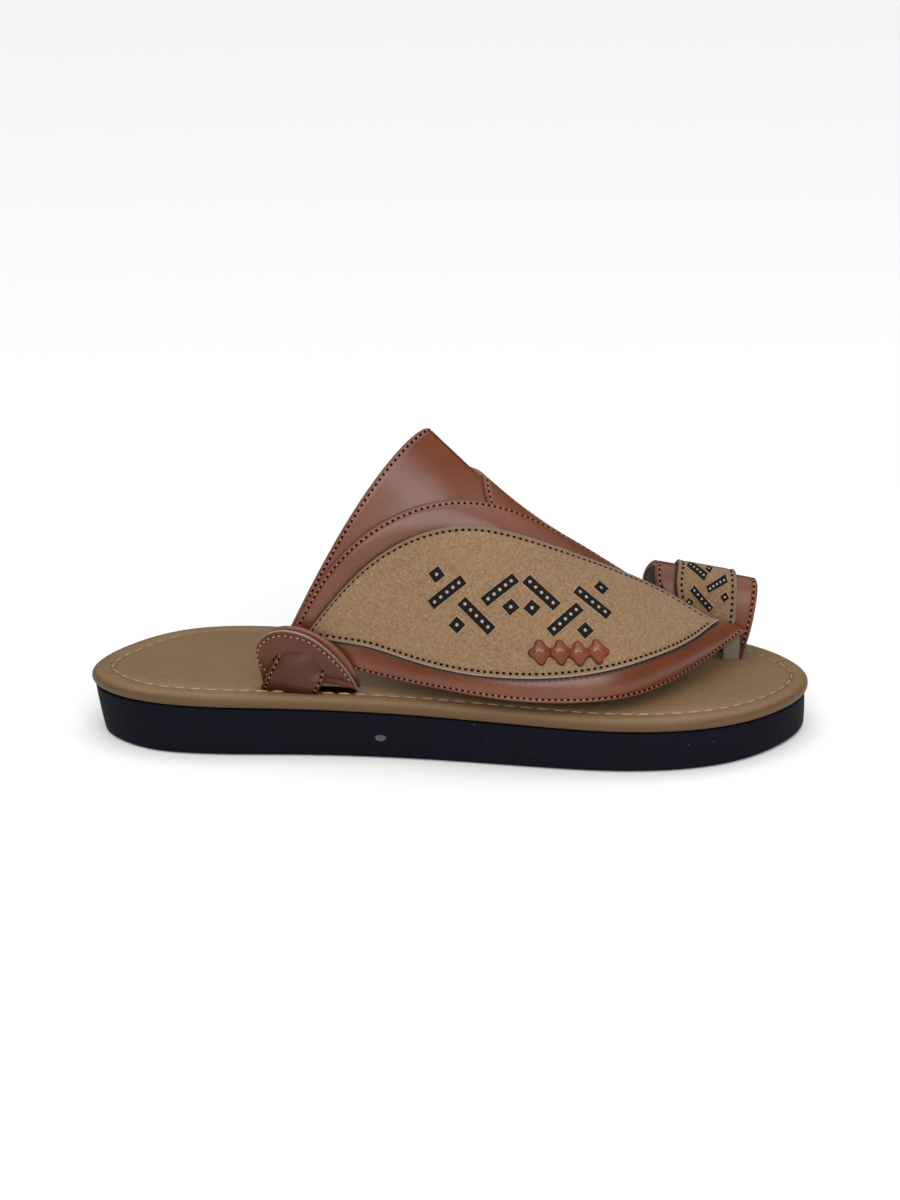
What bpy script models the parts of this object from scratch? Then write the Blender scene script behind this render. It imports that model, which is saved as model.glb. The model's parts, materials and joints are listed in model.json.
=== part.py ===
"""Right-foot Gulf sandal: foam outsole, padded footbed, crossed-strap upper, toe loop and keepers.

Metres, +Z up. X runs from heel to toe, +Y is the inner (big toe) side, Z = 0 is the floor.
Tables are written in millimetres and brought to metres with MM.
"""

import math

import bmesh
import bpy
import numpy as np

MM = 0.001
FIT_GAP = 0.3 * MM

# Sole sizes
SOLE_LENGTH = 277.6 * MM
HEEL_TIP_Y = -7.5 * MM
TOE_TIP_Y = -1.5 * MM
OUTLINE_STEPS = 68
OUTSOLE_INSET = 1.2 * MM
OUTSOLE_EDGE_ROUND = 1.4 * MM
TREAD_FLAT_INSET = 14 * MM
HEEL_TAPER = 3.0 * MM
TOE_SPRING = 0.6 * MM
TOE_SPRING_START = 0.86
RIM_THICKNESS = 5.6 * MM
SPINE_HEEL = 38 * MM
SPINE_TOE = 46 * MM
SLOT_CLEARANCE = 0.6 * MM
LOOP_SLOT_SIDE = 1.2 * MM
LOOP_SLOT_END = 1.8 * MM

# Strap leather
LEATHER = 2.8 * MM
LAYER_STEP = 2.0 * MM
OVERLAY = 1.4 * MM
TAB_LEATHER = 1.8 * MM
WING_FILL = 1.6 * MM
SADDLE_LAYERS = 1.85
ARCH_BACK_POWER = 1.4
ARCH_BACK_FULLNESS = 0.36

# Toe loop
LOOP_FOOT_Z = 17.6 * MM
LOOP_SQUARENESS = 2.4
LOOP_LATERAL_Y = 15.5 * MM
LOOP_OVERLAY_TURN = (0.12, 0.90)

# Half-moon strap keepers
KEEPER_LATERAL_X = -53 * MM
KEEPER_MEDIAL_X = -25 * MM
KEEPER_Y = 22.6 * MM
KEEPER_TURN = math.radians(9.5)
KEEPER_LEAN = math.radians(11)
KEEPER_LEATHER = 3.2 * MM
SLIT_CENTRE = (-2.9 * MM, 14.6 * MM)
SLIT_HALF = (9.4 * MM, 4.3 * MM)

# Diamond knots
KNOT_HALF_LENGTH = 3.4 * MM
KNOT_HALF_WIDTH = 4.9 * MM
KNOT_RISE = 3.2 * MM

# Sole outline: share of the length from the heel, lateral half width, medial half width
OUTLINE = (
    (0.035, 23.3, 13.0),
    (0.120, 33.2, 32.8),
    (0.280, 35.2, 37.0),
    (0.450, 38.0, 34.5),
    (0.620, 45.0, 43.0),
    (0.760, 48.3, 48.3),
    (0.880, 41.0, 37.5),
    (0.950, 27.0, 23.5),
)

# Outsole height: share of the length from the heel, top of the foam above the floor
OUTSOLE_TOP = (
    (0.00, 20.0),
    (0.25, 18.9),
    (0.50, 17.4),
    (0.74, 15.8),
    (0.88, 15.3),
    (1.00, 14.6),
)

# Footbed section, from the underside round the rolled rim to the stitch groove and the pad:
# inset from the outline, height above the outsole as a share of the rim thickness
FOOTBED_SECTION = (
    (2.6, 0.00),
    (0.7, 0.12),
    (0.0, 0.45),
    (0.5, 0.78),
    (2.0, 0.96),
    (4.0, 1.00),
    (5.6, 0.96),
    (6.4, 0.88),
    (7.4, 0.98),
    (10.5, 1.08),
)

# Inner rings of the pad: share of the way to the spine, height share
FOOTBED_PAD = (
    (0.40, 1.13),
    (0.90, 1.13),
)

# Upper arches: share from the rear edge to the tip, then top x y z, lateral foot x y z,
# medial foot x y z, all on the outer face of the outer wing
ARCHES = (
    (0.00, -4, 1.5, 122.0, -60.5, -24.0, 44.2, -32, 24.0, 44.2),
    (0.16, 13, 2.0, 105.0, -36.0, -25.8, 32.8, -8, 25.8, 34),
    (0.32, 30, 2.5, 89.2, -5.0, -37.0, 29.4, 16, 35, 32),
    (0.52, 52, 3.5, 72.5, 30.0, -45.0, 27.0, 37, 40, 37),
    (0.71, 73, 5.0, 57.8, 63.0, -41.5, 26.4, 58, 30, 48),
    (0.88, 92, 7.0, 46.5, 90.0, -20.5, 28.0, 84, 14, 46),
    (1.00, 105, 8.5, 39.5, 113.5, 10.0, 33.5, 104, 11, 39.5),
)

# Panels on the arches. Each row crosses the panel: along and around at its upper edge,
# then along and around at its lower edge (around: -1 lateral foot, 0 top, +1 medial foot)
SADDLE = (
    (0.030, -0.96, 0.10, -0.96),
    (0.000, -0.75, 0.21, -0.75),
    (0.000, -0.50, 0.28, -0.50),
    (0.000, -0.25, 0.33, -0.25),
    (0.000, 0.00, 0.32, 0.00),
    (0.000, 0.25, 0.28, 0.25),
    (0.000, 0.50, 0.23, 0.50),
    (0.000, 0.75, 0.18, 0.75),
    (0.030, 0.96, 0.10, 0.96),
)
MEDIAL_WING = (
    (0.000, 1.00, 0.12, 1.00),
    (0.012, 0.83, 0.20, 1.00),
    (0.045, 0.62, 0.28, 1.00),
    (0.080, 0.38, 0.36, 1.00),
    (0.130, 0.15, 0.44, 1.00),
    (0.180, -0.03, 0.50, 1.00),
    (0.222, -0.14, 0.56, 1.00),
    (0.290, -0.23, 0.61, 1.00),
    (0.450, -0.24, 0.66, 1.00),
    (0.690, -0.15, 0.69, 0.94),
)
LATERAL_WING = (
    (0.000, -1.000, 0.12, -1.00),
    (0.002, -0.840, 0.20, -1.00),
    (0.032, -0.670, 0.28, -1.00),
    (0.090, -0.490, 0.37, -1.00),
    (0.170, -0.312, 0.46, -1.00),
    (0.290, -0.135, 0.56, -1.00),
    (0.435, -0.037, 0.67, -1.00),
    (0.620, 0.000, 0.79, -1.00),
    (0.820, 0.000, 0.91, -1.00),
    (1.000, 0.000, 1.00, -1.00),
)
LATERAL_OVERLAY = (
    (0.050, -0.930, 0.050, -0.930),
    (0.072, -0.755, 0.105, -0.922),
    (0.118, -0.595, 0.180, -0.912),
    (0.185, -0.448, 0.265, -0.912),
    (0.275, -0.319, 0.360, -0.909),
    (0.401, -0.220, 0.460, -0.885),
    (0.540, -0.138, 0.573, -0.841),
    (0.680, -0.055, 0.690, -0.763),
    (0.800, -0.026, 0.800, -0.660),
    (0.905, -0.120, 0.905, -0.540),
    (0.972, -0.325, 0.972, -0.325),
)

# Strap tail in the keeper's own axes: along it, up it, out of it, half width of the strap
TAIL = (
    (-0.8, 22.0, -5.8, 5.6),
    (-1.8, 19.4, -4.2, 6.6),
    (-2.8, 15.8, 0.0, 7.2),
    (-3.2, 12.0, 4.4, 8.0),
    (-4.4, 7.0, 6.6, 9.8),
    (-6.4, 1.5, 5.5, 10.8),
    (-7.0, -3.9, 5.2, 11.0),
)

# Keeper outline in its own axes, from the toe end over the top to the heel end: along, up
KEEPER_OUTLINE = (
    (20.3, 1.7),
    (17.3, 8.0),
    (13.1, 14.3),
    (7.4, 20.2),
    (-0.2, 24.6),
    (-7.8, 25.4),
    (-14.6, 22.4),
    (-17.8, 15.5),
    (-16.9, 1.7),
)

# Toe tab: x y z of its middle, half width
TOE_TAB = (
    (108.5, 9.6, 36.0, 4.6),
    (109.2, 11.4, 30.5, 4.0),
    (109.5, 12.2, 25.0, 3.7),
    (109.5, 12.3, 17.8, 3.7),
)

# Toe loop edges: turn from the lateral foot to the medial foot, rear edge x, front edge x,
# then the rear and front edge x of the band sewn over it
LOOP_EDGES = (
    (0.00, 93.0, 113.5, 92.0, 112.0),
    (0.25, 81.5, 118.0, 89.5, 111.8),
    (0.50, 78.5, 118.5, 88.0, 111.0),
    (0.75, 76.0, 114.5, 85.5, 107.0),
    (1.00, 81.0, 106.0, 86.0, 101.0),
)

# Toe loop sections: share from the rear to the front edge, medial foot y, crown z
LOOP_SECTIONS = (
    (0.0, 38.5, 55.6),
    (1.0, 33.0, 49.2),
)

# Knots on the outer wing: along and around of each centre
KNOTS = (
    (0.515, -0.728),
    (0.560, -0.705),
    (0.601, -0.689),
    (0.641, -0.661),
)

# Knot section: share of the rise, share of the half sizes
KNOT_SECTION = (
    (0.00, 1.00),
    (0.35, 0.97),
    (0.75, 0.72),
    (1.00, 0.28),
)

COLOURS = {
    "outsole": (0.014, 0.014, 0.022, 0.75),
    "footbed": (0.30, 0.19, 0.09, 0.60),
    "upper": (0.20, 0.055, 0.025, 0.42),
    "lateral_overlay": (0.38, 0.25, 0.12, 0.85),
    "toe_loop": (0.20, 0.055, 0.025, 0.42),
    "toe_loop_overlay": (0.38, 0.25, 0.12, 0.85),
    "lateral_keeper": (0.20, 0.055, 0.025, 0.45),
    "medial_keeper": (0.20, 0.055, 0.025, 0.45),
    "knot": (0.16, 0.04, 0.02, 0.40),
}


def natural_spline(stations, values):
    """Smooth curve through table rows; the result is called with one station or an array."""
    x = np.asarray(stations, float)
    y = np.asarray(values, float).reshape(len(x), -1)
    count = len(x)
    step = np.diff(x)
    system = np.eye(count)
    right = np.zeros_like(y)
    for i in range(1, count - 1):
        system[i, i - 1:i + 2] = step[i - 1], 2 * (step[i - 1] + step[i]), step[i]
        right[i] = 6 * ((y[i + 1] - y[i]) / step[i] - (y[i] - y[i - 1]) / step[i - 1])
    bend = np.linalg.solve(system, right)

    def at(station):
        t = np.asarray(station, float)
        i = np.clip(np.searchsorted(x, t, side="right") - 1, 0, count - 2)
        before = (t - x[i])[..., None]
        after = (x[i + 1] - t)[..., None]
        h = step[i][..., None]
        curved = (bend[i] * after**3 + bend[i + 1] * before**3) / (6 * h)
        straight = (y[i] * after + y[i + 1] * before) / h
        sag = h * (bend[i] * after + bend[i + 1] * before) / 6
        return curved + straight - sag

    return at


def table_curve(rows, unit):
    """Spline over a table whose first column is the station."""
    table = np.array(rows, float)
    return natural_spline(table[:, 0], table[:, 1:] * unit)


def ease(value):
    """Soft step from 0 to 1."""
    t = np.clip(value, 0.0, 1.0)
    return t * t * (3 - 2 * t)


def make_material(name, values):
    made = bpy.data.materials.new(name)
    made.use_nodes = True
    shader = made.node_tree.nodes["Principled BSDF"]
    shader.inputs["Base Color"].default_value = (*values[:3], 1)
    shader.inputs["Roughness"].default_value = values[3]
    made.diffuse_color = (*values[:3], 1)
    return made


def make_object(name, points, faces, colour=None):
    """Closed mesh object with outward faces; without a colour it is a hidden helper."""
    mesh = bpy.data.meshes.new(name)
    mesh.from_pydata([tuple(p) for p in points], [], faces)
    shape = bmesh.new()
    shape.from_mesh(mesh)
    bmesh.ops.remove_doubles(shape, verts=shape.verts, dist=0.01 * MM)
    bmesh.ops.dissolve_degenerate(shape, edges=shape.edges, dist=0.005 * MM)
    bmesh.ops.recalc_face_normals(shape, faces=shape.faces)
    shape.to_mesh(mesh)
    shape.free()
    made = bpy.data.objects.new(name, mesh)
    bpy.context.scene.collection.objects.link(made)
    if colour:
        mesh.materials.append(make_material(name, COLOURS[colour]))
    else:
        made.hide_render = True
        made.display_type = "WIRE"
    return made


def combine(target, tool, operation):
    step = target.modifiers.new(tool.name, "BOOLEAN")
    step.operation = operation
    step.solver = "EXACT"
    step.object = tool


def loft(rings):
    """Stacked closed rings of equal count, capped at both ends."""
    count = len(rings[0])
    points = np.concatenate(rings)
    faces = []
    for level in range(len(rings) - 1):
        low = level * count
        for i in range(count):
            j = (i + 1) % count
            faces.append((low + i, low + j, low + count + j, low + count + i))
    faces.append(tuple(range(count - 1, -1, -1)))
    faces.append(tuple(range(len(points) - count, len(points))))
    return points, faces


def shell(inner, outer):
    """Closed solid between two point grids of the same shape."""
    rows, columns = inner.shape[:2]
    points = np.concatenate([inner.reshape(-1, 3), outer.reshape(-1, 3)])
    half = rows * columns
    faces = []

    def at(i, j, side):
        return side * half + i * columns + j

    for i in range(rows - 1):
        for j in range(columns - 1):
            faces.append((at(i, j, 0), at(i + 1, j, 0), at(i + 1, j + 1, 0), at(i, j + 1, 0)))
            faces.append((at(i, j, 1), at(i, j + 1, 1), at(i + 1, j + 1, 1), at(i + 1, j, 1)))
    for i in range(rows - 1):
        for j in (0, columns - 1):
            faces.append((at(i, j, 0), at(i, j, 1), at(i + 1, j, 1), at(i + 1, j, 0)))
    for j in range(columns - 1):
        for i in (0, rows - 1):
            faces.append((at(i, j, 0), at(i, j + 1, 0), at(i, j + 1, 1), at(i, j, 1)))
    return points, faces


# Sole functions

def sole_outline():
    """Closed outline of the footbed, counter-clockwise from the heel tip, evenly spaced."""
    table = np.array(OUTLINE)
    x = (table[:, 0] - 0.5) * SOLE_LENGTH
    lateral = np.stack([x, -table[:, 1] * MM], axis=1)
    medial = np.stack([x, table[:, 2] * MM], axis=1)[::-1]
    heel = [(-SOLE_LENGTH / 2, HEEL_TIP_Y)]
    toe = [(SOLE_LENGTH / 2, TOE_TIP_Y)]
    corners = np.concatenate([heel, lateral, toe, medial])
    count = len(corners)
    wrapped = np.concatenate([corners[-3:], corners, corners[:4]])
    travel = np.linalg.norm(np.diff(wrapped, axis=0), axis=1)
    station = np.concatenate([[0], np.cumsum(travel)])
    curve = natural_spline(station, wrapped)
    fine = curve(np.linspace(station[3], station[3 + count], 2001))
    run = np.concatenate([[0], np.cumsum(np.linalg.norm(np.diff(fine, axis=0), axis=1))])
    even = np.linspace(0, run[-1], OUTLINE_STEPS, endpoint=False)
    return np.stack([np.interp(even, run, fine[:, 0]), np.interp(even, run, fine[:, 1])], axis=1)


def inset_outline(outline, distance):
    ahead = np.roll(outline, -1, axis=0) - np.roll(outline, 1, axis=0)
    ahead /= np.linalg.norm(ahead, axis=1, keepdims=True)
    inward = np.stack([-ahead[:, 1], ahead[:, 0]], axis=1)
    return outline + inward * np.reshape(distance, (-1, 1))


outsole_top_curve = table_curve(OUTSOLE_TOP, MM)


def share_along(x):
    return np.asarray(x) / SOLE_LENGTH + 0.5


def outsole_top(x):
    return outsole_top_curve(share_along(x))[..., 0]


def footbed_top(x):
    return outsole_top(x) + FIT_GAP + RIM_THICKNESS


def floor_line(x):
    """Underside of the sole: flat, lifting a little at the very toe."""
    lift = np.clip((share_along(x) - TOE_SPRING_START) / (1 - TOE_SPRING_START), 0, 1)
    return TOE_SPRING * lift**2


def with_height(flat, height):
    return np.column_stack([flat, np.broadcast_to(height, len(flat))])


def build_outsole(outline):
    x = outline[:, 0]
    heel = HEEL_TAPER * ease((0.12 - share_along(x)) / 0.12)
    wall = inset_outline(outline, OUTSOLE_INSET + heel * 0.5)
    foot = inset_outline(outline, OUTSOLE_INSET + heel)
    tread = inset_outline(outline, OUTSOLE_INSET + heel + OUTSOLE_EDGE_ROUND)
    corner = inset_outline(outline, OUTSOLE_INSET + heel + OUTSOLE_EDGE_ROUND * 0.3)
    crest = inset_outline(outline, OUTSOLE_INSET)
    flat = inset_outline(outline, TREAD_FLAT_INSET)
    rings = (
        with_height(flat, 0.0),
        with_height(tread, floor_line(x)),
        with_height(corner, floor_line(x) + OUTSOLE_EDGE_ROUND * 0.3),
        with_height(foot, floor_line(x) + OUTSOLE_EDGE_ROUND),
        with_height(wall, outsole_top(x) * 0.55),
        with_height(crest, outsole_top(x)),
    )
    return make_object("outsole", *loft(rings), "outsole")


def build_footbed(outline):
    x = outline[:, 0]
    base = outsole_top(x) + FIT_GAP
    rings = []
    for inset, height in FOOTBED_SECTION:
        rings.append(with_height(inset_outline(outline, inset * MM), base + height * RIM_THICKNESS))
    edge = rings[-1][:, :2]
    spine_x = np.clip(edge[:, 0], -SOLE_LENGTH / 2 + SPINE_HEEL, SOLE_LENGTH / 2 - SPINE_TOE)
    spine = np.column_stack([spine_x, np.zeros(len(edge))])
    for share, height in FOOTBED_PAD:
        flat = edge + (spine - edge) * share
        lift = outsole_top(flat[:, 0]) + FIT_GAP + height * RIM_THICKNESS
        rings.append(with_height(flat, lift))
    return make_object("footbed", *loft(rings), "footbed")


# Upper functions

arch_curve = table_curve(ARCHES, MM)


def arch_point(along, around):
    """Outer face of the outer wing, extended over the whole instep."""
    along, around = np.broadcast_arrays(np.asarray(along, float), np.asarray(around, float))
    row = arch_curve(along)
    top = row[..., 0:3]
    foot = np.where((around < 0)[..., None], row[..., 3:6], row[..., 6:9])
    angle = np.abs(around) * math.pi / 2
    away = np.abs(around)
    lean_back = away**ARCH_BACK_POWER * (1 + ARCH_BACK_FULLNESS * (1 - away))
    share = np.stack([lean_back, np.sin(angle), 1 - np.cos(angle)], axis=-1)
    return top + (foot - top) * share


def arch_normal(along, around):
    small = 1e-3
    forward = arch_point(along + small, around) - arch_point(along - small, around)
    across = arch_point(along, around + small) - arch_point(along, around - small)
    normal = np.cross(forward, across)
    return normal / np.linalg.norm(normal, axis=-1, keepdims=True)


def panel_grid(rows, steps_long, steps_wide):
    """Along and around values over a panel, long way first."""
    table = np.array(rows, float)
    edge = natural_spline(np.linspace(0, 1, len(table)), table)
    ends = edge(np.linspace(0, 1, steps_long + 1))
    share = np.linspace(0, 1, steps_wide + 1)
    along = ends[:, 0:1] + (ends[:, 2:3] - ends[:, 0:1]) * share
    around = ends[:, 1:2] + (ends[:, 3:4] - ends[:, 1:2]) * share
    return along, around


def panel_shell(rows, steps_long, steps_wide, outer, thickness):
    """Leather panel whose outer face lies at a height over the arches."""
    along, around = panel_grid(rows, steps_long, steps_wide)
    face = arch_point(along, around)
    normal = arch_normal(along, around)
    height = np.broadcast_to(outer(around), along.shape)[..., None]
    depth = np.broadcast_to(thickness(along, around), along.shape)[..., None]
    return shell(face + normal * (height - depth), face + normal * height)


def plain_leather(along, around):
    return LEATHER


def outer_wing_leather(along, around):
    """Near the top the outer wing also fills the step down to the saddle below it."""
    return LEATHER + WING_FILL * ease((around + 0.45) / 0.35) * ease((0.42 - along) / 0.08)


def saddle_height(around):
    """The saddle lies under one layer on the outer side and under two at the top."""
    return -LAYER_STEP * (1 + (SADDLE_LAYERS - 1) * ease((around + 0.45) / 0.35))


def strap_sweep(middle, wide, half, thickness):
    """Flat strap along a line of middles, with the width direction given."""
    ahead = np.gradient(middle, axis=0)
    out = np.cross(wide, ahead)
    out /= np.linalg.norm(out, axis=1, keepdims=True)
    side = wide * half[:, None]
    inner = np.stack([middle - side, middle + side], axis=1) - (out * thickness / 2)[:, None]
    outer = np.stack([middle - side, middle + side], axis=1) + (out * thickness / 2)[:, None]
    return shell(inner, outer)


def build_upper():
    upper = make_object("upper", *panel_shell(SADDLE, 28, 10, saddle_height, plain_leather), "upper")
    inner_wing = panel_shell(MEDIAL_WING, 30, 10, lambda a: -LAYER_STEP, plain_leather)
    outer_wing = panel_shell(LATERAL_WING, 32, 10, lambda a: 0.0, outer_wing_leather)
    combine(upper, make_object("inner_wing", *inner_wing), "UNION")
    combine(upper, make_object("outer_wing", *outer_wing), "UNION")
    for side, name in ((-1, "outer_tail"), (1, "inner_tail")):
        combine(upper, make_object(name, *tail_strap(side)), "UNION")
    rows = natural_spline(np.linspace(0, 1, len(TOE_TAB)), np.array(TOE_TAB) * MM)(np.linspace(0, 1, 8))
    wide = np.broadcast_to(np.array([1.0, 0.0, 0.0]), (8, 3))
    combine(upper, make_object("toe_tab", *strap_sweep(rows[:, :3], wide, rows[:, 3], TAB_LEATHER)), "UNION")
    return upper


# Keeper functions

def keeper_axes(side):
    """Foot point of a keeper, then its axes along, up and out; side is -1 lateral, +1 medial."""
    x = KEEPER_LATERAL_X if side < 0 else KEEPER_MEDIAL_X
    foot = np.array([x, side * KEEPER_Y, footbed_top(x) + FIT_GAP])
    along = np.array([math.cos(KEEPER_TURN), side * math.sin(KEEPER_TURN), 0])
    flat_out = np.array([-math.sin(KEEPER_TURN), side * math.cos(KEEPER_TURN), 0])
    rise = np.array([0, 0, 1])
    up = rise * math.cos(KEEPER_LEAN) + flat_out * math.sin(KEEPER_LEAN)
    out = flat_out * math.cos(KEEPER_LEAN) - rise * math.sin(KEEPER_LEAN)
    return foot, along, up, out


def in_keeper(side, local):
    foot, along, up, out = keeper_axes(side)
    return foot + local[..., 0:1] * along + local[..., 1:2] * up + local[..., 2:3] * out


def tail_strap(side):
    table = np.array(TAIL) * MM
    rows = natural_spline(np.linspace(0, 1, len(table)), table)(np.linspace(0, 1, 15))
    middle = in_keeper(side, rows[:, :3])
    wide = np.broadcast_to(keeper_axes(side)[1], middle.shape)
    return strap_sweep(middle, wide, rows[:, 3], LEATHER)


def keeper_box(side, centre, half):
    """Box in a keeper's axes, used to cut slits and slots."""
    corner = np.array([[(i, j, k) for k in (-1, 1)] for i in (-1, 1) for j in (-1, 1)], float)
    grid = corner.reshape(2, 2, 2, 3)
    local = np.array(centre) + grid * np.array(half)
    return shell(in_keeper(side, local[..., 0, :]), in_keeper(side, local[..., 1, :]))


def build_keeper(side, name):
    table = np.array(KEEPER_OUTLINE) * MM
    flat = natural_spline(np.linspace(0, 1, len(table)), table)(np.linspace(0, 1, 25))
    rings = [in_keeper(side, with_height(flat, out)) for out in (0, KEEPER_LEATHER)]
    keeper = make_object(name, *loft(rings), name)
    centre = (*SLIT_CENTRE, KEEPER_LEATHER / 2)
    slit = make_object(name + "_slit", *keeper_box(side, centre, (*SLIT_HALF, KEEPER_LEATHER)))
    combine(keeper, slit, "DIFFERENCE")
    return keeper


# Toe loop functions

loop_edge_curve = table_curve(LOOP_EDGES, MM)


def loop_point(turn, across):
    """Middle surface of the toe loop; turn runs over the toe, across from rear to front."""
    turn, across = np.broadcast_arrays(np.asarray(turn, float), np.asarray(across, float))
    edge = loop_edge_curve(turn)
    rear, front = np.array(LOOP_SECTIONS) * MM
    medial = rear[1] + (front[1] - rear[1]) * across
    crown = rear[2] + (front[2] - rear[2]) * across
    x = edge[..., 0] + (edge[..., 1] - edge[..., 0]) * across
    angle = math.pi * turn
    power = 2 / LOOP_SQUARENESS
    reach = np.sign(np.cos(angle)) * np.abs(np.cos(angle))**power
    rise = np.abs(np.sin(angle))**power
    y = (LOOP_LATERAL_Y + medial) / 2 - (medial - LOOP_LATERAL_Y) / 2 * reach
    return np.stack([x, y, LOOP_FOOT_Z + (crown - LOOP_FOOT_Z) * rise], axis=-1)


def loop_normal(turn, across):
    small = 1e-3
    along = loop_point(np.clip(turn + small, 0, 1), across) - loop_point(np.clip(turn - small, 0, 1), across)
    wide = loop_point(turn, across + small) - loop_point(turn, across - small)
    normal = np.cross(wide, along)
    return normal / np.linalg.norm(normal, axis=-1, keepdims=True)


def loop_span(turns, first, steps):
    """Turn and across grids between two edge columns of the loop table."""
    edge = loop_edge_curve(turns)
    width = edge[:, 1] - edge[:, 0]
    start = (edge[:, first] - edge[:, 0]) / width
    end = (edge[:, first + 1] - edge[:, 0]) / width
    across = np.linspace(start, end, steps + 1, axis=1)
    return np.broadcast_to(turns[:, None], across.shape), across


def loop_shell(turn, across, low, high):
    face = loop_point(turn, across)
    normal = loop_normal(turn, across)
    return shell(face + normal * low, face + normal * high)


def build_loop():
    turns = (1 - np.cos(np.linspace(0, math.pi, 29))) / 2 * 0.5 + np.linspace(0, 1, 29) * 0.5
    band = loop_shell(*loop_span(turns, 0, 6), -LEATHER / 2, LEATHER / 2)
    loop = make_object("toe_loop", *band, "toe_loop")
    low = LEATHER / 2 + FIT_GAP
    turns = np.linspace(*LOOP_OVERLAY_TURN, 25)
    cover = loop_shell(*loop_span(turns, 2, 5), low, low + OVERLAY)
    return loop, make_object("toe_loop_overlay", *cover, "toe_loop_overlay")


def build_overlay():
    top = FIT_GAP + OVERLAY
    cover = panel_shell(LATERAL_OVERLAY, 30, 10, lambda a: top, lambda s, a: OVERLAY)
    return make_object("lateral_overlay", *cover, "lateral_overlay")


def build_knot(number, along, around):
    """Raised diamond with its long corner across the strap."""
    foot = arch_point(along, around)
    out = arch_normal(along, around)
    across = arch_point(along, around + 0.01) - arch_point(along, around - 0.01)
    across /= np.linalg.norm(across)
    long = np.cross(across, out)
    turn = np.linspace(0, 2 * math.pi, 16, endpoint=False)
    point = np.sign(np.cos(turn)) * np.abs(np.cos(turn))**1.5
    flank = np.sign(np.sin(turn)) * np.abs(np.sin(turn))**1.5
    base = foot + out * (2 * FIT_GAP + OVERLAY)
    rings = []
    for rise, size in KNOT_SECTION:
        ring = base + out * rise * KNOT_RISE
        ring = ring + np.outer(point, long) * KNOT_HALF_LENGTH * size
        ring = ring + np.outer(flank, across) * KNOT_HALF_WIDTH * size
        rings.append(ring)
    return make_object(f"knot_{number}", *loft(rings), "knot")


def cut_slots(footbed):
    """Slots where the strap tails, the toe tab and the toe loop's feet enter the footbed."""
    tail = np.array(TAIL[-1]) * MM
    for side, name in ((-1, "outer_slot"), (1, "inner_slot")):
        half = (tail[3] + SLOT_CLEARANCE, abs(tail[1]) + SLOT_CLEARANCE, LEATHER / 2 + SLOT_CLEARANCE)
        box = keeper_box(side, (tail[0], 0.0, tail[2]), half)
        combine(footbed, make_object(name, *box), "DIFFERENCE")
    for turn, name in ((0.0, "toe_slot"), (1.0, "loop_slot")):
        rear = loop_point(turn, 0.0)
        front = loop_point(turn, 1.0)
        ahead = (front - rear) / np.linalg.norm(front - rear)
        out = np.array([-ahead[1], ahead[0], 0])
        near = LEATHER / 2 + LOOP_SLOT_SIDE
        far = near
        if turn == 0.0:
            near += LOOP_LATERAL_Y - TOE_TAB[-1][1] * MM
        ends = np.stack([rear - ahead * LOOP_SLOT_END, front + ahead * LOOP_SLOT_END])
        low = np.stack([ends - out * near, ends + out * far], axis=1)
        low[..., 2] = LOOP_FOOT_Z - SLOT_CLEARANCE
        high = low + np.array([0, 0, 12 * MM])
        combine(footbed, make_object(name, *shell(low, high)), "DIFFERENCE")


for old in list(bpy.data.objects):
    bpy.data.objects.remove(old, do_unlink=True)

sole_edge = sole_outline()
build_outsole(sole_edge)
cut_slots(build_footbed(sole_edge))
build_upper()
build_overlay()
build_loop()
build_keeper(-1, "lateral_keeper")
build_keeper(1, "medial_keeper")
for knot_index, (knot_along, knot_around) in enumerate(KNOTS):
    build_knot(knot_index + 1, knot_along, knot_around)
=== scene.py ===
"""Looks of a right-foot Gulf sandal: foam, leather, nubuck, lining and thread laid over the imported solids.

Metres, +Z up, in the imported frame: X from heel to toe, +Y to the inner side, floor at Z = 0.
Tables are written in millimetres and brought to metres with MM.
"""

import json
import math

import bpy
import numpy as np
from mathutils import Matrix, Vector

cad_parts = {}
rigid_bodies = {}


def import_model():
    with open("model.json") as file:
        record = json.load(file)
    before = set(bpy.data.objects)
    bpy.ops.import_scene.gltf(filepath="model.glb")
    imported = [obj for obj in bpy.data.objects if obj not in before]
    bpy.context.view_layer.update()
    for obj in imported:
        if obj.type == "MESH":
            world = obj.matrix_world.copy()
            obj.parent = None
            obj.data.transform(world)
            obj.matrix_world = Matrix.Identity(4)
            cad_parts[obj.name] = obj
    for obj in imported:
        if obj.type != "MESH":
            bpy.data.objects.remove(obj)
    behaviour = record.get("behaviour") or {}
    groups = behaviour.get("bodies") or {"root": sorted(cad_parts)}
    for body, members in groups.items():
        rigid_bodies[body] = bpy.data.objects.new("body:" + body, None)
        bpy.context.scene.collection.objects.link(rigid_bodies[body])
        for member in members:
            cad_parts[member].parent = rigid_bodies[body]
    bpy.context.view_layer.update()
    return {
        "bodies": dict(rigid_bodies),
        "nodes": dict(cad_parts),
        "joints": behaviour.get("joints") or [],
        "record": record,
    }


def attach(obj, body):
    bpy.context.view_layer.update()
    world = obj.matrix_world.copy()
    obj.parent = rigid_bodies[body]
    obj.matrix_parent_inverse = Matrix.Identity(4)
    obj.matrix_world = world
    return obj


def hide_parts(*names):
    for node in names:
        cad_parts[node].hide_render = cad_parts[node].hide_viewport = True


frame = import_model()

# Studio: a pale paper floor under an open top light that fades towards the horizon, one wide soft window
# behind the camera, a weak lamp beyond the heel, and a camera at the photograph's angle to the sandal.
MM = 0.001
FLOOR_SIZE = 14.0
FLOOR_DROP = 0.2 * MM
PAPER = (0.86, 0.86, 0.86, 1)
PAPER_ROUGHNESS = 0.9
SKY_LOW = 0.12
SKY_HIGH = 2.1
SKY_SPAN = (0.45, 1.0)
VIEW_AZIMUTH = math.radians(2.79)
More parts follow.
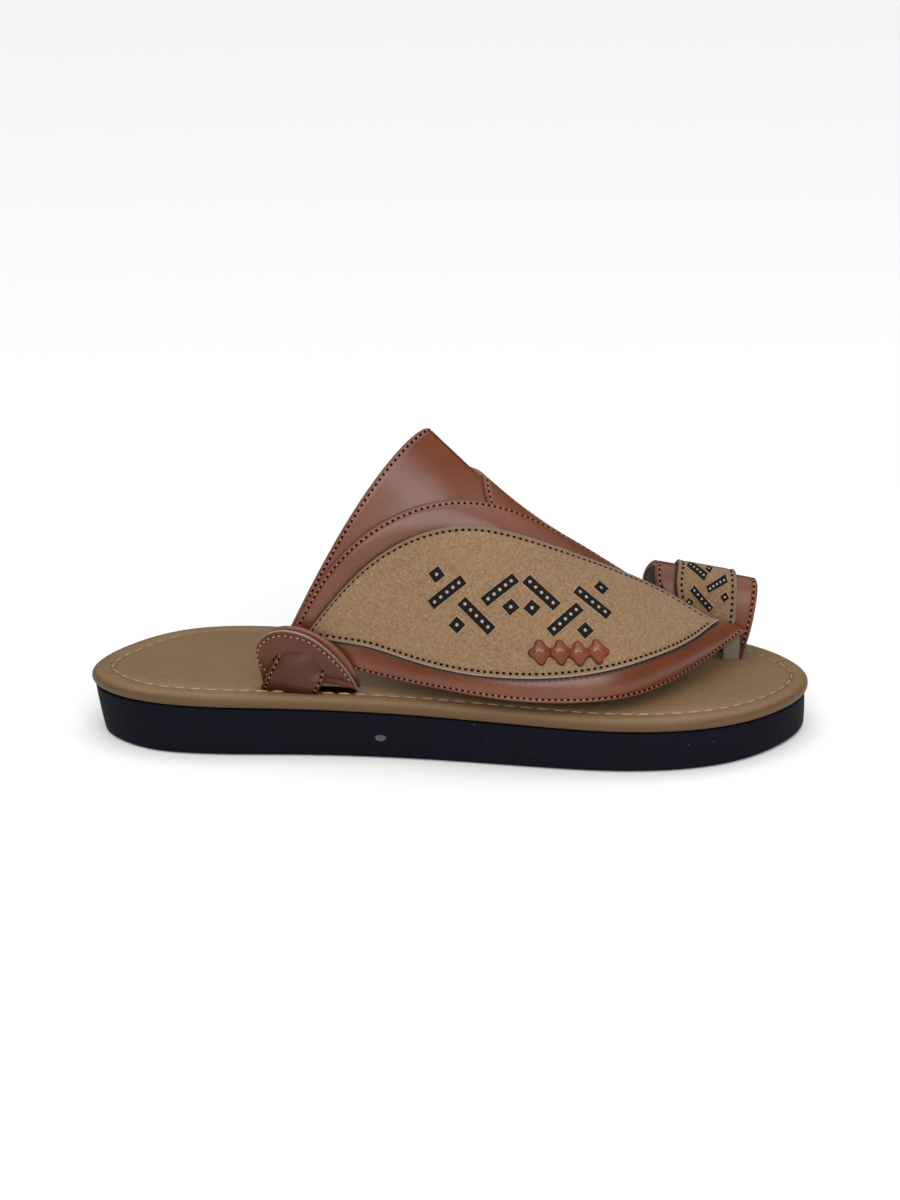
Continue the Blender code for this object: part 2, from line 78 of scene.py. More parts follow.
VIEW_ELEVATION = math.radians(21.14)
VIEW_ROLL = math.radians(-0.8)
VIEW_DISTANCE = 1069.6 * MM
VIEW_TARGET = Vector((0.77, -1.6, 51.3)) * MM
LENS = 83.517
FILM_SIDE = 36.0
NEAREST = 0.05

# Each light: name, azimuth from the outer side towards the toe, elevation, distance, width, height, watts
LIGHTS = (
    ("window_light", 10.0, 24.0, 1.8, 1.8, 1.1, 23.0),
    ("heel_light", -75.0, 35.0, 1.5, 0.6, 0.6, 0.9),
)


class Dye:
    """One value in a finish; sums of values add Math nodes to the finish's tree."""

    def __init__(self, tree, socket=None):
        self.tree = tree
        self.socket = socket

    def node(self, kind, inputs=None, output=0, **settings):
        """Adds any node: its settings first, then the values or links of its sockets."""
        made = self.tree.nodes.new("ShaderNode" + kind)
        for name, value in settings.items():
            setattr(made, name, value)
        for name, value in (inputs or {}).items():
            if isinstance(value, Dye):
                self.tree.links.new(value.socket, made.inputs[name])
            else:
                made.inputs[name].default_value = value
        return Dye(self.tree, made.outputs[output])

    def math(self, operation, first, second):
        return self.node("Math", {0: first, 1: second}, operation=operation)

    def __add__(self, other):
        return self.math("ADD", self, other)

    __radd__ = __add__

    def __sub__(self, other):
        return self.math("SUBTRACT", self, other)

    def __rsub__(self, other):
        return self.math("SUBTRACT", other, self)

    def __mul__(self, other):
        return self.math("MULTIPLY", self, other)

    __rmul__ = __mul__

    def between(self, low, high):
        """0 at the low value, 1 at the high value, soft between them."""
        limits = {"Value": self, "From Min": low, "From Max": high}
        return self.node("MapRange", limits, interpolation_type="SMOOTHSTEP")

    def mix(self, first, second):
        """The first colour where this value is 0, the second where it is 1."""
        return self.node("Mix", {0: self, 6: first, 7: second}, output=2, data_type="RGBA")


def direction(azimuth, elevation):
    """Way from the sandal to a place round it; azimuth 0 is the outer side, 90 degrees the toe."""
    return Vector((
        math.sin(azimuth) * math.cos(elevation),
        -math.cos(azimuth) * math.cos(elevation),
        math.sin(elevation),
    ))


bpy.ops.object.select_all(action="DESELECT")
bpy.ops.mesh.primitive_plane_add(size=FLOOR_SIZE, location=(0, 0, -FLOOR_DROP))
floor = bpy.context.object
floor.name = "floor"
paper = bpy.data.materials.new("floor_paper")
paper.use_nodes = True
paper.node_tree.nodes["Principled BSDF"].inputs["Base Color"].default_value = PAPER
paper.node_tree.nodes["Principled BSDF"].inputs["Roughness"].default_value = PAPER_ROUGHNESS
floor.data.materials.append(paper)

room = bpy.data.worlds.new("studio")
room.use_nodes = True
sky = Dye(room.node_tree)
way = sky.node("TexCoord", output="Generated")
height = sky.node("SeparateXYZ", {"Vector": way}, output="Z")
glow = SKY_LOW + height.between(*SKY_SPAN) * (SKY_HIGH - SKY_LOW)
room.node_tree.links.new(glow.socket, room.node_tree.nodes["Background"].inputs["Strength"])
room.node_tree.nodes["Background"].inputs["Color"].default_value = (1, 1, 1, 1)
bpy.context.scene.world = room
bpy.context.scene.view_settings.view_transform = "Standard"

for name, azimuth, elevation, distance, wide, high, watts in LIGHTS:
    bpy.ops.object.light_add(type="AREA")
    lamp = bpy.context.object
    lamp.name = name
    lamp.data.shape = "RECTANGLE"
    lamp.data.size = wide
    lamp.data.size_y = high
    lamp.data.energy = watts
    way_out = direction(math.radians(azimuth), math.radians(elevation))
    lamp.location = VIEW_TARGET + way_out * distance
    lamp.rotation_euler = (-way_out).to_track_quat("-Z", "Y").to_euler()

back = direction(VIEW_AZIMUTH, VIEW_ELEVATION)
level = Vector((0, 0, 1)).cross(back).normalized()
upright = back.cross(level)
across = level * math.cos(VIEW_ROLL) + upright * math.sin(VIEW_ROLL)
top = upright * math.cos(VIEW_ROLL) - level * math.sin(VIEW_ROLL)
bpy.ops.object.camera_add()
camera = bpy.context.object
camera.data.lens = LENS
camera.data.sensor_width = FILM_SIDE
camera.data.clip_start = NEAREST
place = Matrix((across, top, back)).transposed().to_4x4()
place.translation = VIEW_TARGET + back * VIEW_DISTANCE
camera.matrix_world = place
bpy.context.scene.camera = camera


# Outsole: one block of navy foam rubber, cut flat underneath with a small rounded edge and a heel
# that leans in. It is glued under the footbed and set in a little from it.
SOLE_LENGTH = 277.6 * MM
HEEL_TIP_Y = -12.0 * MM
HEEL_TRIM = 1.3 * MM
TOE_TIP_Y = 1.5 * MM
OUTLINE_STEPS = 360
FINE_OUTLINE_STEPS = 4001
WELD = 0.005 * MM
OUTSOLE_INSET = 1.2 * MM
HEEL_TAPER = 3.0 * MM
HEEL_TAPER_SHARE = 0.12
TOE_SPRING = 0.6 * MM
TOE_SPRING_START = 0.86
NICK = (-24.8 * MM, -36.6 * MM, 8.4 * MM)
NICK_SHAPE = (0.72, 1.0, 1.25)
NICK_RAGGED = 1.2 * MM
NICK_EDGE = (1.9 * MM, 1.4 * MM)
NICK_CORE = (0.5 * MM, 1.2 * MM)
TREAD_INSET = 14.0

# Sole outline: share of the length from the heel, lateral half width, medial half width
OUTLINE = (
    (0.035, 23.3, 15.2),
    (0.120, 33.2, 34.8),
    (0.280, 35.2, 38.4),
    (0.450, 38.0, 34.5),
    (0.620, 45.0, 43.0),
    (0.760, 48.3, 48.3),
    (0.880, 41.0, 38.8),
    (0.950, 27.0, 26.4),
)

# Outsole height: share of the length from the heel, top of the foam above the floor
OUTSOLE_TOP = (
    (0.00, 20.0),
    (0.25, 18.9),
    (0.50, 17.4),
    (0.74, 15.8),
    (0.88, 15.3),
    (1.00, 14.6),
)

# Outsole section, from the tread round the edge to the top: inset from the wall, share of the
# heel's lean, height as a share of the top, height added
OUTSOLE_SECTION = (
    (TREAD_INSET, 1.00, 0.0, 0.00),
    (2.2, 1.00, 0.0, 0.00),
    (1.4, 1.00, 0.0, 0.03),
    (0.75, 0.99, 0.0, 0.20),
    (0.28, 0.98, 0.0, 0.58),
    (0.05, 0.96, 0.0, 1.15),
    (0.00, 0.92, 0.0, 2.00),
    (-0.10, 0.75, 0.25, 0.00),
    (-0.16, 0.50, 0.50, 0.00),
    (-0.10, 0.25, 0.75, 0.00),
    (0.00, 0.05, 1.0, -1.20),
    (0.08, 0.00, 1.0, -0.45),
    (0.35, 0.00, 1.0, -0.08),
    (1.00, 0.00, 1.0, 0.00),
    (6.00, 0.00, 1.0, 0.00),
)


def rgb(red, green, blue):
    """Shader colour from the 0 to 255 values of a picture."""
    shares = np.array([red, green, blue]) / 255
    linear = np.where(shares <= 0.04045, shares / 12.92, ((shares + 0.055) / 1.055) ** 2.4)
    return (*linear, 1)


def new_finish(name, plain):
    """A material with its even sockets set, its shader, and the places on a piece to grow values from."""
    finish = bpy.data.materials.new(name)
    finish.use_nodes = True
    shader = finish.node_tree.nodes["Principled BSDF"]
    for socket, value in plain.items():
        shader.inputs[socket].default_value = value
    return finish, shader, Dye(finish.node_tree).node("TexCoord", output="Object")


def noise(place, scale, detail, roughness=0.5):
    """Cloudy values between 0 and 1."""
    cloudy = {"Vector": place, "Scale": scale, "Detail": detail, "Roughness": roughness}
    return place.node("TexNoise", cloudy)


def relief(height, strength, deep):
    """Bump from a height; how deep it goes is in mm."""
    return height.node("Bump", {"Strength": strength, "Distance": deep * MM, "Height": height})


def wear(shader, dyes):
    """Links values that change over the surface to the shader's sockets."""
    for socket, dye in dyes.items():
        dye.tree.links.new(dye.socket, shader.inputs[socket])


def foam_rubber():
    finish, shader, place = new_finish("navy_foam", {"Specular IOR Level": 0.1})
    cloud = noise(place, 60, 4)
    pores = noise(place, 2600, 2)
    dust = place.node("TexVoronoi", {"Vector": place, "Scale": 160, "Randomness": 1})
    speck = 1 - dust.between(0.025, 0.06)
    away = place.node("VectorMath", {0: place, 1: NICK}, operation="SUBTRACT")
    oval = place.node("VectorMath", {0: away, 1: NICK_SHAPE}, operation="MULTIPLY")
    to_nick = place.node("VectorMath", {0: oval}, output="Value", operation="LENGTH")
    ragged = to_nick + (cloud + pores - 1) * NICK_RAGGED
    nick = ragged.between(*NICK_EDGE) * (0.35 + ragged.between(*NICK_CORE) * 0.65)
    lit = cloud.between(0.35, 0.7).mix(rgb(5, 5, 15), rgb(8, 8, 21))
    skin_tone = pores.between(0.45, 0.75).mix(lit, rgb(13, 12, 27))
    dusty = (speck * cloud.between(0.5, 0.62)).mix(skin_tone, rgb(66, 66, 74))
    scuffed = nick.mix(dusty, rgb(84, 84, 94))
    bump = relief(pores - nick, 0.35, 0.2)
    wear(shader, {"Base Color": scuffed, "Roughness": 0.62 + cloud * 0.16 - nick * 0.3, "Normal": bump})
    return finish


def curve_through(stations, rows):
    """Smooth curve through table rows; the result takes one station or an array of them."""
    x = np.asarray(stations, float)
    y = np.asarray(rows, float).reshape(len(x), -1)
    step = np.diff(x)
    system = np.eye(len(x))
    right = np.zeros_like(y)
    for i in range(1, len(x) - 1):
        system[i, i - 1:i + 2] = step[i - 1], 2 * (step[i - 1] + step[i]), step[i]
        right[i] = 6 * ((y[i + 1] - y[i]) / step[i] - (y[i] - y[i - 1]) / step[i - 1])
    bend = np.linalg.solve(system, right)

    def at(station):
        t = np.asarray(station, float)
        i = np.clip(np.searchsorted(x, t, side="right") - 1, 0, len(x) - 2)
        before = (t - x[i])[..., None]
        after = (x[i + 1] - t)[..., None]
        h = step[i][..., None]
        curved = (bend[i] * after**3 + bend[i + 1] * before**3) / (6 * h)
        sag = h * (bend[i] * after + bend[i + 1] * before) / 6
        return curved + (y[i] * after + y[i + 1] * before) / h - sag

    return at


def table_curve(rows, unit=MM):
    """Smooth curve over a table whose first column is the station."""
    table = np.array(rows, float)
    return curve_through(table[:, 0], table[:, 1:] * unit)


def ease(value):
    """Soft step from 0 to 1."""
    t = np.clip(value, 0.0, 1.0)
    return t * t * (3 - 2 * t)


def travelled(points, axis=0):
    """Distance gone along a line of points, or along the lines of a grid."""
    gone = np.cumsum(np.linalg.norm(np.diff(points, axis=axis), axis=-1), axis=axis)
    start = np.zeros_like(np.take(gone, [0], axis=axis))
    return np.concatenate([start, gone], axis=axis)


def sampled(at, stations, rows):
    """Rows of points read off at other stations."""
    return np.stack([np.interp(at, stations, column) for column in rows.T], axis=-1)


def closed_curve(corners, steps):
    """Smooth closed curve through corners, as points from the first corner back to it."""
    wrapped = np.concatenate([corners[-3:], corners, corners[:4]])
    station = travelled(wrapped)
    return curve_through(station, wrapped)(np.linspace(station[3], station[3 + len(corners)], steps))


def sole_outline():
    """Closed outline of the footbed from the heel tip round by the outer side, evenly spaced."""
    table = np.array(OUTLINE)
    x = (table[:, 0] - 0.5) * SOLE_LENGTH
    lateral = np.stack([x, -table[:, 1] * MM], axis=1)
    medial = np.stack([x, table[:, 2] * MM], axis=1)[::-1]
    heel = [(HEEL_TRIM - SOLE_LENGTH / 2, HEEL_TIP_Y)]
    toe = [(SOLE_LENGTH / 2, TOE_TIP_Y)]
    fine = closed_curve(np.concatenate([heel, lateral, toe, medial]), FINE_OUTLINE_STEPS)
    even = np.linspace(0, travelled(fine)[-1], OUTLINE_STEPS, endpoint=False)
    return sampled(even, travelled(fine), fine)


def inset_outline(outline, distance):
    ahead = np.roll(outline, -1, axis=0) - np.roll(outline, 1, axis=0)
    ahead /= np.linalg.norm(ahead, axis=1, keepdims=True)
    inward = np.stack([-ahead[:, 1], ahead[:, 0]], axis=1)
    return outline + inward * np.reshape(distance, (-1, 1))


def share_along(x):
    return np.asarray(x) / SOLE_LENGTH + 0.5


outsole_top_curve = table_curve(OUTSOLE_TOP)


def outsole_top(x):
    return outsole_top_curve(share_along(x))[..., 0]


def floor_line(x):
    """Underside of the sole: flat, lifting a little at the very toe."""
    lift = np.clip((share_along(x) - TOE_SPRING_START) / (1 - TOE_SPRING_START), 0, 1)
    return TOE_SPRING * lift**2


def closed(rings):
    """Stacked rings as a grid whose last column meets its first."""
    grid = np.stack(rings)
    return np.concatenate([grid, grid[:, :1]], axis=1)


def filled(ring, columns=24):
    """Grid across a ring, from its outer half to its inner half."""
    half = len(ring) // 2
    outer = ring[:half + 1]
    inner = np.concatenate([ring[:1], ring[half:][::-1]])
    share = np.linspace(0, 1, columns + 1)[None, :, None]
    return outer[:, None] + (inner - outer)[:, None] * share


def lay_grid(name, points, parts=None, **marks):
    """A flat grid laid over a form, as an object of its own; marks are values stored at its points."""
    rows, columns = points.shape[:2]
    bpy.ops.object.select_all(action="DESELECT")
    bpy.ops.mesh.primitive_grid_add(x_subdivisions=columns - 1, y_subdivisions=rows - 1, calc_uvs=False)
    piece = bpy.context.object
    piece.name = name
    piece.data.name = name
    piece.data.vertices.foreach_set("co", np.ascontiguousarray(points, np.float32).ravel())
    if parts is not None:
        piece.data.polygons.foreach_set("material_index", np.ascontiguousarray(parts, np.int32).ravel())
    for mark, values in marks.items():
        stored = piece.data.attributes.new(mark, "FLOAT", "POINT")
        stored.data.foreach_set("value", np.ascontiguousarray(values, np.float32).ravel())
    return piece


def close_piece(name, grids, finishes):
    """Joins grids into one piece, welds them where they meet and turns every face outwards."""
    bpy.ops.object.select_all(action="DESELECT")
    for grid in grids:
        grid.select_set(True)
    bpy.context.view_layer.objects.active = grids[0]
    if len(grids) > 1:
        bpy.ops.object.join()
    piece = bpy.context.object
    piece.name = name
    piece.data.name = name
    for finish in finishes:
        piece.data.materials.append(finish)
    bpy.ops.object.mode_set(mode="EDIT")
    bpy.ops.mesh.select_all(action="SELECT")
    bpy.ops.mesh.remove_doubles(threshold=WELD)
    bpy.ops.mesh.normals_make_consistent(inside=False)
    bpy.ops.object.mode_set(mode="OBJECT")
    bpy.ops.object.shade_smooth()
    return piece


def fit(piece, slot, *nodes):
    """The piece belongs to the sandal and stands for these solids; the slot argument is not used."""
    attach(piece, "root")
    if nodes:
        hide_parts(*nodes)


sole_edge = sole_outline()
sole_x = sole_edge[:, 0]
heel_lean = HEEL_TAPER * ease((HEEL_TAPER_SHARE - share_along(sole_x)) / HEEL_TAPER_SHARE)
outsole_rings = []
for inset, lean, top_share, rise in OUTSOLE_SECTION:
    flat = inset_outline(sole_edge, OUTSOLE_INSET + inset * MM + heel_lean * lean)
    low = floor_line(sole_x) * (inset < TREAD_INSET)
    height = low + (outsole_top(sole_x) - low) * top_share + rise * MM
    outsole_rings.append(np.column_stack([flat, height]))
outsole = close_piece("outsole_foam", [
    lay_grid("outsole_wall", closed(outsole_rings)),
    lay_grid("outsole_tread", filled(outsole_rings[0])),
    lay_grid("outsole_seat", filled(outsole_rings[-1])),
], [foam_rubber()])
fit(outsole, "outsole", "outsole")


# Footbed: a foam board wrapped in satin tan leather, rolled over at its edge and sewn round with
# long pale stitches that pull a groove. The straps come up through it, so it dips at each of them.
FIT_GAP = 0.3 * MM
RIM_THICKNESS = 5.6 * MM
RIM_LINES = 54
GROOVE_INSET = 6.4
GROOVE_REACH = 1.3
GROOVE_HEIGHT = 0.93
RIM_SIDE = 3.0
RIM_TOP = 0.7
PAD_LINES = 60
PUCKER = 0.16 * MM
PAD_CROWN = 0.3 * MM
CROWN_WIDTH = 40 * MM
HEEL_ROLL = 0.28
HEEL_ROLL_SHARE = 0.12
THREAD_SUNK = 0.08
FAR_SIDE = 15 * MM
BED_STITCH_PITCH = 6.3 * MM
BED_THREAD = (2.6 * MM, 0.32 * MM, 0.42 * MM)
STRAP_DIP = 1.1 * MM
STRAP_DIP_REACH = 2.6 * MM
SLOT_HEIGHT = 0.97
SLOT_HALF_HEIGHT = 0.45 * MM

# Footbed section, from the underside round the rolled rim to the groove and the pad:
# inset from the outline, height above the outsole as a share of the rim thickness
FOOTBED_SECTION = (
    (5.0, 0.00),
    (2.6, 0.00),
    (0.7, 0.12),
    (0.0, 0.45),
    (0.5, 0.78),
    (2.0, 0.96),
    (4.0, 1.00),
    (5.6, 0.96),
    (6.4, 0.87),
    (7.4, 0.97),
    (9.0, 1.04),
    (12.0, 1.09),
)

# Where straps enter the footbed: x and y of both ends of each slot, half width. The two widest, under the
# keepers' lobes, are widened into dark patches of painted shadow beneath the lobes.
STRAP_SLOTS = (
    (-69.5, -25.0, -49.5, -28.6, 1.5),
    (-51.5, -24.6, -33.0, -27.6, 3.1),
    (-41.5, 25.0, -21.5, 28.6, 1.5),
    (-23.5, 24.6, -5.0, 27.6, 3.1),
    (106.0, 15.5, 113.5, 15.5, 1.5),
    (81.0, 38.5, 106.0, 33.0, 1.5),
)


def marked(place, name):
    """Values stored at a piece's points."""
    return place.node("Attribute", output="Fac", attribute_name=name)


def satin_tan():
    finish, shader, place = new_finish("footbed_leather", {"Specular IOR Level": 0.34})
    cloud = noise(place, 34, 5, 0.6)
    grain = place.node("TexVoronoi", {"Vector": place, "Scale": 1500})
    fibre = noise(place, 900, 5, 0.7)
    tone = cloud.between(0.3, 0.7).mix(rgb(102, 79, 51), rgb(112, 88, 60))
    satin = fibre.between(0.35, 0.7).mix(tone, rgb(119, 94, 66))
    # The rolled side of the rim is darker and more saturated: partly the wrapped leather's own tone, partly
    # painted shade.
    side = marked(place, "edge")
    colour = side.between(1.0, 0.62).mix(satin, rgb(88, 63, 34))
    height = grain * 0.4 + fibre * 0.6
    bump = relief(height, 0.22, 0.15)
    wear(shader, {"Base Color": colour, "Roughness": 0.42 + fibre * 0.18, "Normal": bump})
    return finish


def plain_dye(name, colour, roughness, gloss=0.3):
    """Small things such as thread and needle holes: one colour, a little uneven in gloss and tone."""
    finish, shader, place = new_finish(name, {"Specular IOR Level": gloss})
    twist = noise(place, 1800, 2)
    darker = (*(0.7 * value for value in colour[:3]), 1)
    tone = twist.between(0.3, 0.7).mix(darker, colour)
    wear(shader, {"Base Color": tone, "Roughness": twist * 0.2 + roughness})
    return finish


def pressed(points, start, end, depth, reach):
    """Points let down softly along a line on the footbed."""
    line = np.array(end) - np.array(start)
    share = np.clip(((points[..., :2] - start) @ line) / (line @ line), 0, 1)
    away = np.linalg.norm(points[..., :2] - (start + share[..., None] * line), axis=-1)
    lowered = points.copy()
    lowered[..., 2] -= depth * np.exp(-(away / reach) ** 2)
    return lowered


def grain_shape():
    """One small rounded grain, used for stitches, needle holes, slots and silver dots."""
    bpy.ops.object.select_all(action="DESELECT")
    bpy.ops.mesh.primitive_uv_sphere_add(segments=8, ring_count=5, radius=1, calc_uvs=False)
    bead = bpy.context.object
    points = np.array([v.co for v in bead.data.vertices])
    faces = [tuple(p.vertices) for p in bead.data.polygons]
    bpy.data.objects.remove(bead, do_unlink=True)
    return points, faces


grain_points, grain_faces = grain_shape()


def scatter_grains(name, groups, finishes):
    """Joined copies of the grain. Each group: centres, directions ahead and out, half sizes, finish."""
    points = []
    faces = []
    parts = []
    for centre, ahead, out, long, wide, high, part in groups:
        side = np.cross(out, ahead)
        for c, a, s, o in zip(centre, ahead, side, out):
            first = len(points)
            placed = c + grain_points @ np.stack([a * long, s * wide, o * high])
            points.extend(map(tuple, placed))
            faces.extend(tuple(first + k for k in face) for face in grain_faces)
            parts.extend([part] * len(grain_faces))
    mesh = bpy.data.meshes.new(name)
    mesh.from_pydata(points, [], faces)
    mesh.polygons.foreach_set("material_index", parts)
    for finish in finishes:
        mesh.materials.append(finish)
    made = bpy.data.objects.new(name, mesh)
    bpy.context.scene.collection.objects.link(made)
    bpy.ops.object.select_all(action="DESELECT")
    made.select_set(True)
    bpy.context.view_layer.objects.active = made
    bpy.ops.object.shade_smooth()
    return made


def unit(vectors):
    return vectors / np.linalg.norm(vectors, axis=-1, keepdims=True)


def stations_on(line, out, pitch, shift):
    """Evenly spaced places on a line: centres, directions ahead and directions out."""
    gone = travelled(line)
    count = max(int(round(gone[-1] / pitch)), 1)
    at = (np.arange(count) + shift) * gone[-1] / count
    ahead = unit(sampled(at, gone, np.gradient(line, axis=0)))
    normal = unit(sampled(at, gone, out))
    upright = unit(normal - ahead * np.sum(normal * ahead, axis=1, keepdims=True))
    return sampled(at, gone, line), ahead, upright


roll = 1 + HEEL_ROLL * ease(1 - share_along(sole_x) / HEEL_ROLL_SHARE)
groove_edge = inset_outline(sole_edge, GROOVE_INSET * MM * roll)
groove_gone = travelled(np.concatenate([groove_edge, groove_edge[:1]]))
bed_stitches = round(groove_gone[-1] / BED_STITCH_PITCH)
pull = np.cos(2 * math.pi * bed_stitches * groove_gone[:-1] / groove_gone[-1])
section = curve_through(np.arange(len(FOOTBED_SECTION)), FOOTBED_SECTION)
bed_base = outsole_top(sole_x) + FIT_GAP
bed_rings = []
bed_shares = []
for inset, share in section(np.linspace(0, len(FOOTBED_SECTION) - 1, RIM_LINES)):
    pucker = PUCKER * pull * math.exp(-((inset - GROOVE_INSET) / GROOVE_REACH) ** 2) * (share > RIM_TOP)
    flat = inset_outline(sole_edge, inset * MM * roll)
    bed_rings.append(np.column_stack([flat, bed_base + share * RIM_THICKNESS - pucker]))
    bed_shares.append(share if inset < RIM_SIDE else 1.0)
bed_rim = closed(bed_rings)
bed_pad = filled(bed_rings[-1], PAD_LINES)
bed_width = np.linalg.norm(bed_pad[:, -1] - bed_pad[:, 0], axis=1)
crown = np.sin(np.linspace(0, math.pi, bed_pad.shape[1]))
bed_pad[..., 2] += PAD_CROWN * crown * ease(bed_width / CROWN_WIDTH)[:, None]
for x0, y0, x1, y1, _ in np.array(STRAP_SLOTS) * MM:
    bed_rim = pressed(bed_rim, (x0, y0), (x1, y1), STRAP_DIP, STRAP_DIP_REACH)
    bed_pad = pressed(bed_pad, (x0, y0), (x1, y1), STRAP_DIP, STRAP_DIP_REACH)
rim_shares = np.broadcast_to(np.array(bed_shares)[:, None], bed_rim.shape[:2])
footbed = close_piece("footbed_cover", [
    lay_grid("footbed_rim", bed_rim, edge=rim_shares),
    lay_grid("footbed_pad", bed_pad, edge=np.ones(bed_pad.shape[:2])),
    lay_grid("footbed_base", filled(bed_rings[0])),
], [satin_tan()])
fit(footbed, "footbed", "footbed")

far_side = ease(groove_edge[:, 1] / FAR_SIDE)
groove_height = bed_base + (GROOVE_HEIGHT - THREAD_SUNK * far_side) * RIM_THICKNESS
groove_line = np.column_stack([groove_edge, groove_height])
groove_line = np.concatenate([groove_line, groove_line[:1]])
straight_up = np.tile([0.0, 0.0, 1.0], (len(groove_line), 1))
bed_places = stations_on(groove_line, straight_up, BED_STITCH_PITCH, 0.5)
pale_thread = plain_dye("pale_thread", rgb(168, 142, 110), 0.6)
needle_hole = plain_dye("needle_hole", rgb(22, 6, 2), 0.8, 0.0)
fit(scatter_grains("footbed_stitches", [(*bed_places, *BED_THREAD, 0)], [pale_thread]), "thread")

# Dark grains in the slots; the wide ones under the keepers' lobes are painted shadow.
slot_groups = []
for x0, y0, x1, y1, half in np.array(STRAP_SLOTS) * MM:
    reach = np.array([x1 - x0, y1 - y0, 0.0])
    middle_x = (x0 + x1) / 2
    height = outsole_top(middle_x) + FIT_GAP + SLOT_HEIGHT * RIM_THICKNESS
    centre = np.array([[middle_x, (y0 + y1) / 2, height]])
    size = (np.linalg.norm(reach) / 2, half, SLOT_HALF_HEIGHT)
    slot_groups.append((centre, unit(reach)[None], straight_up[:1], *size, 0))
fit(scatter_grains("footbed_slots_and_painted_shadow", slot_groups, [needle_hole]), "footbed")


# Saddle: the brown leather piece over the instep, lined in grey, its rear edge turned and sewn.
# It lies under both wings and is cut from the same arched form as they are.
LEATHER = 2.8 * MM
LAYER_STEP = 2.0 * MM
SADDLE_LAYERS = 1.85
ARCH_BACK_POWER = 1.4
ARCH_BACK_FULLNESS = 0.36
EDGE_SEAM = 1.6
SADDLE_SEAM = 1.25
SEAM_DEPTH = 0.4
SEAM_BEAD = 0.2
SEAM_REACH = 0.6
STRAP_STITCH_PITCH = 2.35 * MM
STRAP_STITCH = (0.55, 0.3, 0.26)
NEEDLE_HOLE = (0.6, 0.62, 0.34)
TURNED_EDGE = 1.3
TURNED_UNDER = 1.4
SADDLE_STEP = (-0.45, -0.10)
BEAD_PLACE = 0.4
CLOSE_LINES_MOST = 0.45

# Lines laid close together beside every edge of a panel: distance from the edge
EDGE_LINES = (0.0, 0.05, 0.2, 0.45, 0.8, 1.2, 1.6, 2.0, 2.4, 2.9, 3.6, 4.6)

# Upper arches: share from the rear edge to the tip, then top x y z, lateral foot x y z,
# medial foot x y z, all on the outer face of the outer wing
ARCHES = (
    (0.00, -4, 1.5, 122.0, -60.5, -24.0, 44.2, -32, 24.0, 44.2),
    (0.16, 13, 2.0, 105.0, -36.0, -25.8, 32.8, -8, 25.8, 34),
    (0.32, 30, 2.5, 89.2, -5.0, -37.0, 29.4, 16, 35, 32),
    (0.52, 52, 3.5, 72.5, 30.0, -45.0, 27.0, 37, 40, 37),
    (0.71, 73, 5.0, 57.8, 63.0, -41.5, 26.4, 58, 30, 48),
    (0.88, 92, 7.0, 46.5, 90.0, -20.5, 28.0, 84, 14, 46),
    (1.00, 105, 8.5, 39.5, 113.5, 10.0, 33.5, 104, 11, 39.5),
)

# Saddle on the arches: along and around at its rear edge, then along and around at its front edge
SADDLE = (
    (0.000, -1.00, 0.13, -1.00),
    (0.000, -0.75, 0.21, -0.75),
    (0.000, -0.50, 0.28, -0.50),
    (0.000, -0.25, 0.33, -0.25),
    (0.000, 0.00, 0.32, 0.00),
    (0.000, 0.25, 0.28, 0.25),
    (0.000, 0.50, 0.23, 0.50),
    (0.000, 0.75, 0.18, 0.75),
    (0.000, 1.00, 0.13, 1.00),
)


def brown_leather(name, depth=1.0, gloss=0.23, cut=None, shine=0.5):
    """Reddish brown leather, paler at turned or cut edges, glossy where burnished; painted shade darkens and
    dulls it where marked.
    """
    finish, shader, place = new_finish(name, {"Specular IOR Level": shine, "Coat Roughness": 0.12})
    edge = marked(place, "edge")
    cloud = noise(place, 30, 4, 0.55)
    grain = place.node("TexVoronoi", {"Vector": place, "Scale": 2100}, feature="SMOOTH_F1")
    pores = noise(place, 3200, 3)
    dark = rgb(*(depth * v for v in (92, 46, 25)))
    light = rgb(*(depth * v for v in (104, 54, 31)))
    turned = cut or rgb(*(depth * v for v in (103, 58, 39)))
    tone = cloud.between(0.3, 0.72).mix(dark, light)
    rim = edge.between(0.32, 0.1) if cut else edge.between(1.5, 0.3)
    # Painted shade: where the shade mark is set, the colour goes towards near black and the surface gets
    # duller.
    shade = marked(place, "shade")
    colour = shade.mix(rim.mix(tone, turned), rgb(26, 8, 3))
    slack = noise(place, 110, 2)
    height = grain * 0.7 + pores * 0.3 + slack * 2.2
    bump = relief(height, 0.3, 0.1)
    rough = gloss + grain * 0.12 + rim * 0.15 + shade * 0.55
    burnish = marked(place, "burnish")
    wear(shader, {"Base Color": colour, "Roughness": rough, "Coat Weight": burnish, "Normal": bump})
    return finish


def grey_lining(name, dark, light):
    finish, shader, place = new_finish(name, {"Specular IOR Level": 0.3})
    cloud = noise(place, 60, 4)
    nap = noise(place, 2200, 4)
    tone = cloud.between(0.3, 0.7).mix(dark, light)
    bump = relief(nap, 0.25, 0.12)
    wear(shader, {"Base Color": tone, "Roughness": 0.75 + nap * 0.15, "Normal": bump})
    return finish


def paired(first, second):
    """Two sets of values as arrays of one shape."""
    return np.broadcast_arrays(np.asarray(first, float), np.asarray(second, float))


arch_curve = table_curve(ARCHES)


def arch_point(along, around):
    """Outer face of the outer wing, extended over the whole instep."""
    along, around = paired(along, around)
    row = arch_curve(along)
    top = row[..., 0:3]
    foot = np.where((around < 0)[..., None], row[..., 3:6], row[..., 6:9])
    away = np.abs(around)
    angle = away * math.pi / 2
    lean_back = away**ARCH_BACK_POWER * (1 + ARCH_BACK_FULLNESS * (1 - away))
    share = np.stack([lean_back, np.sin(angle), 1 - np.cos(angle)], axis=-1)
    return top + (foot - top) * share


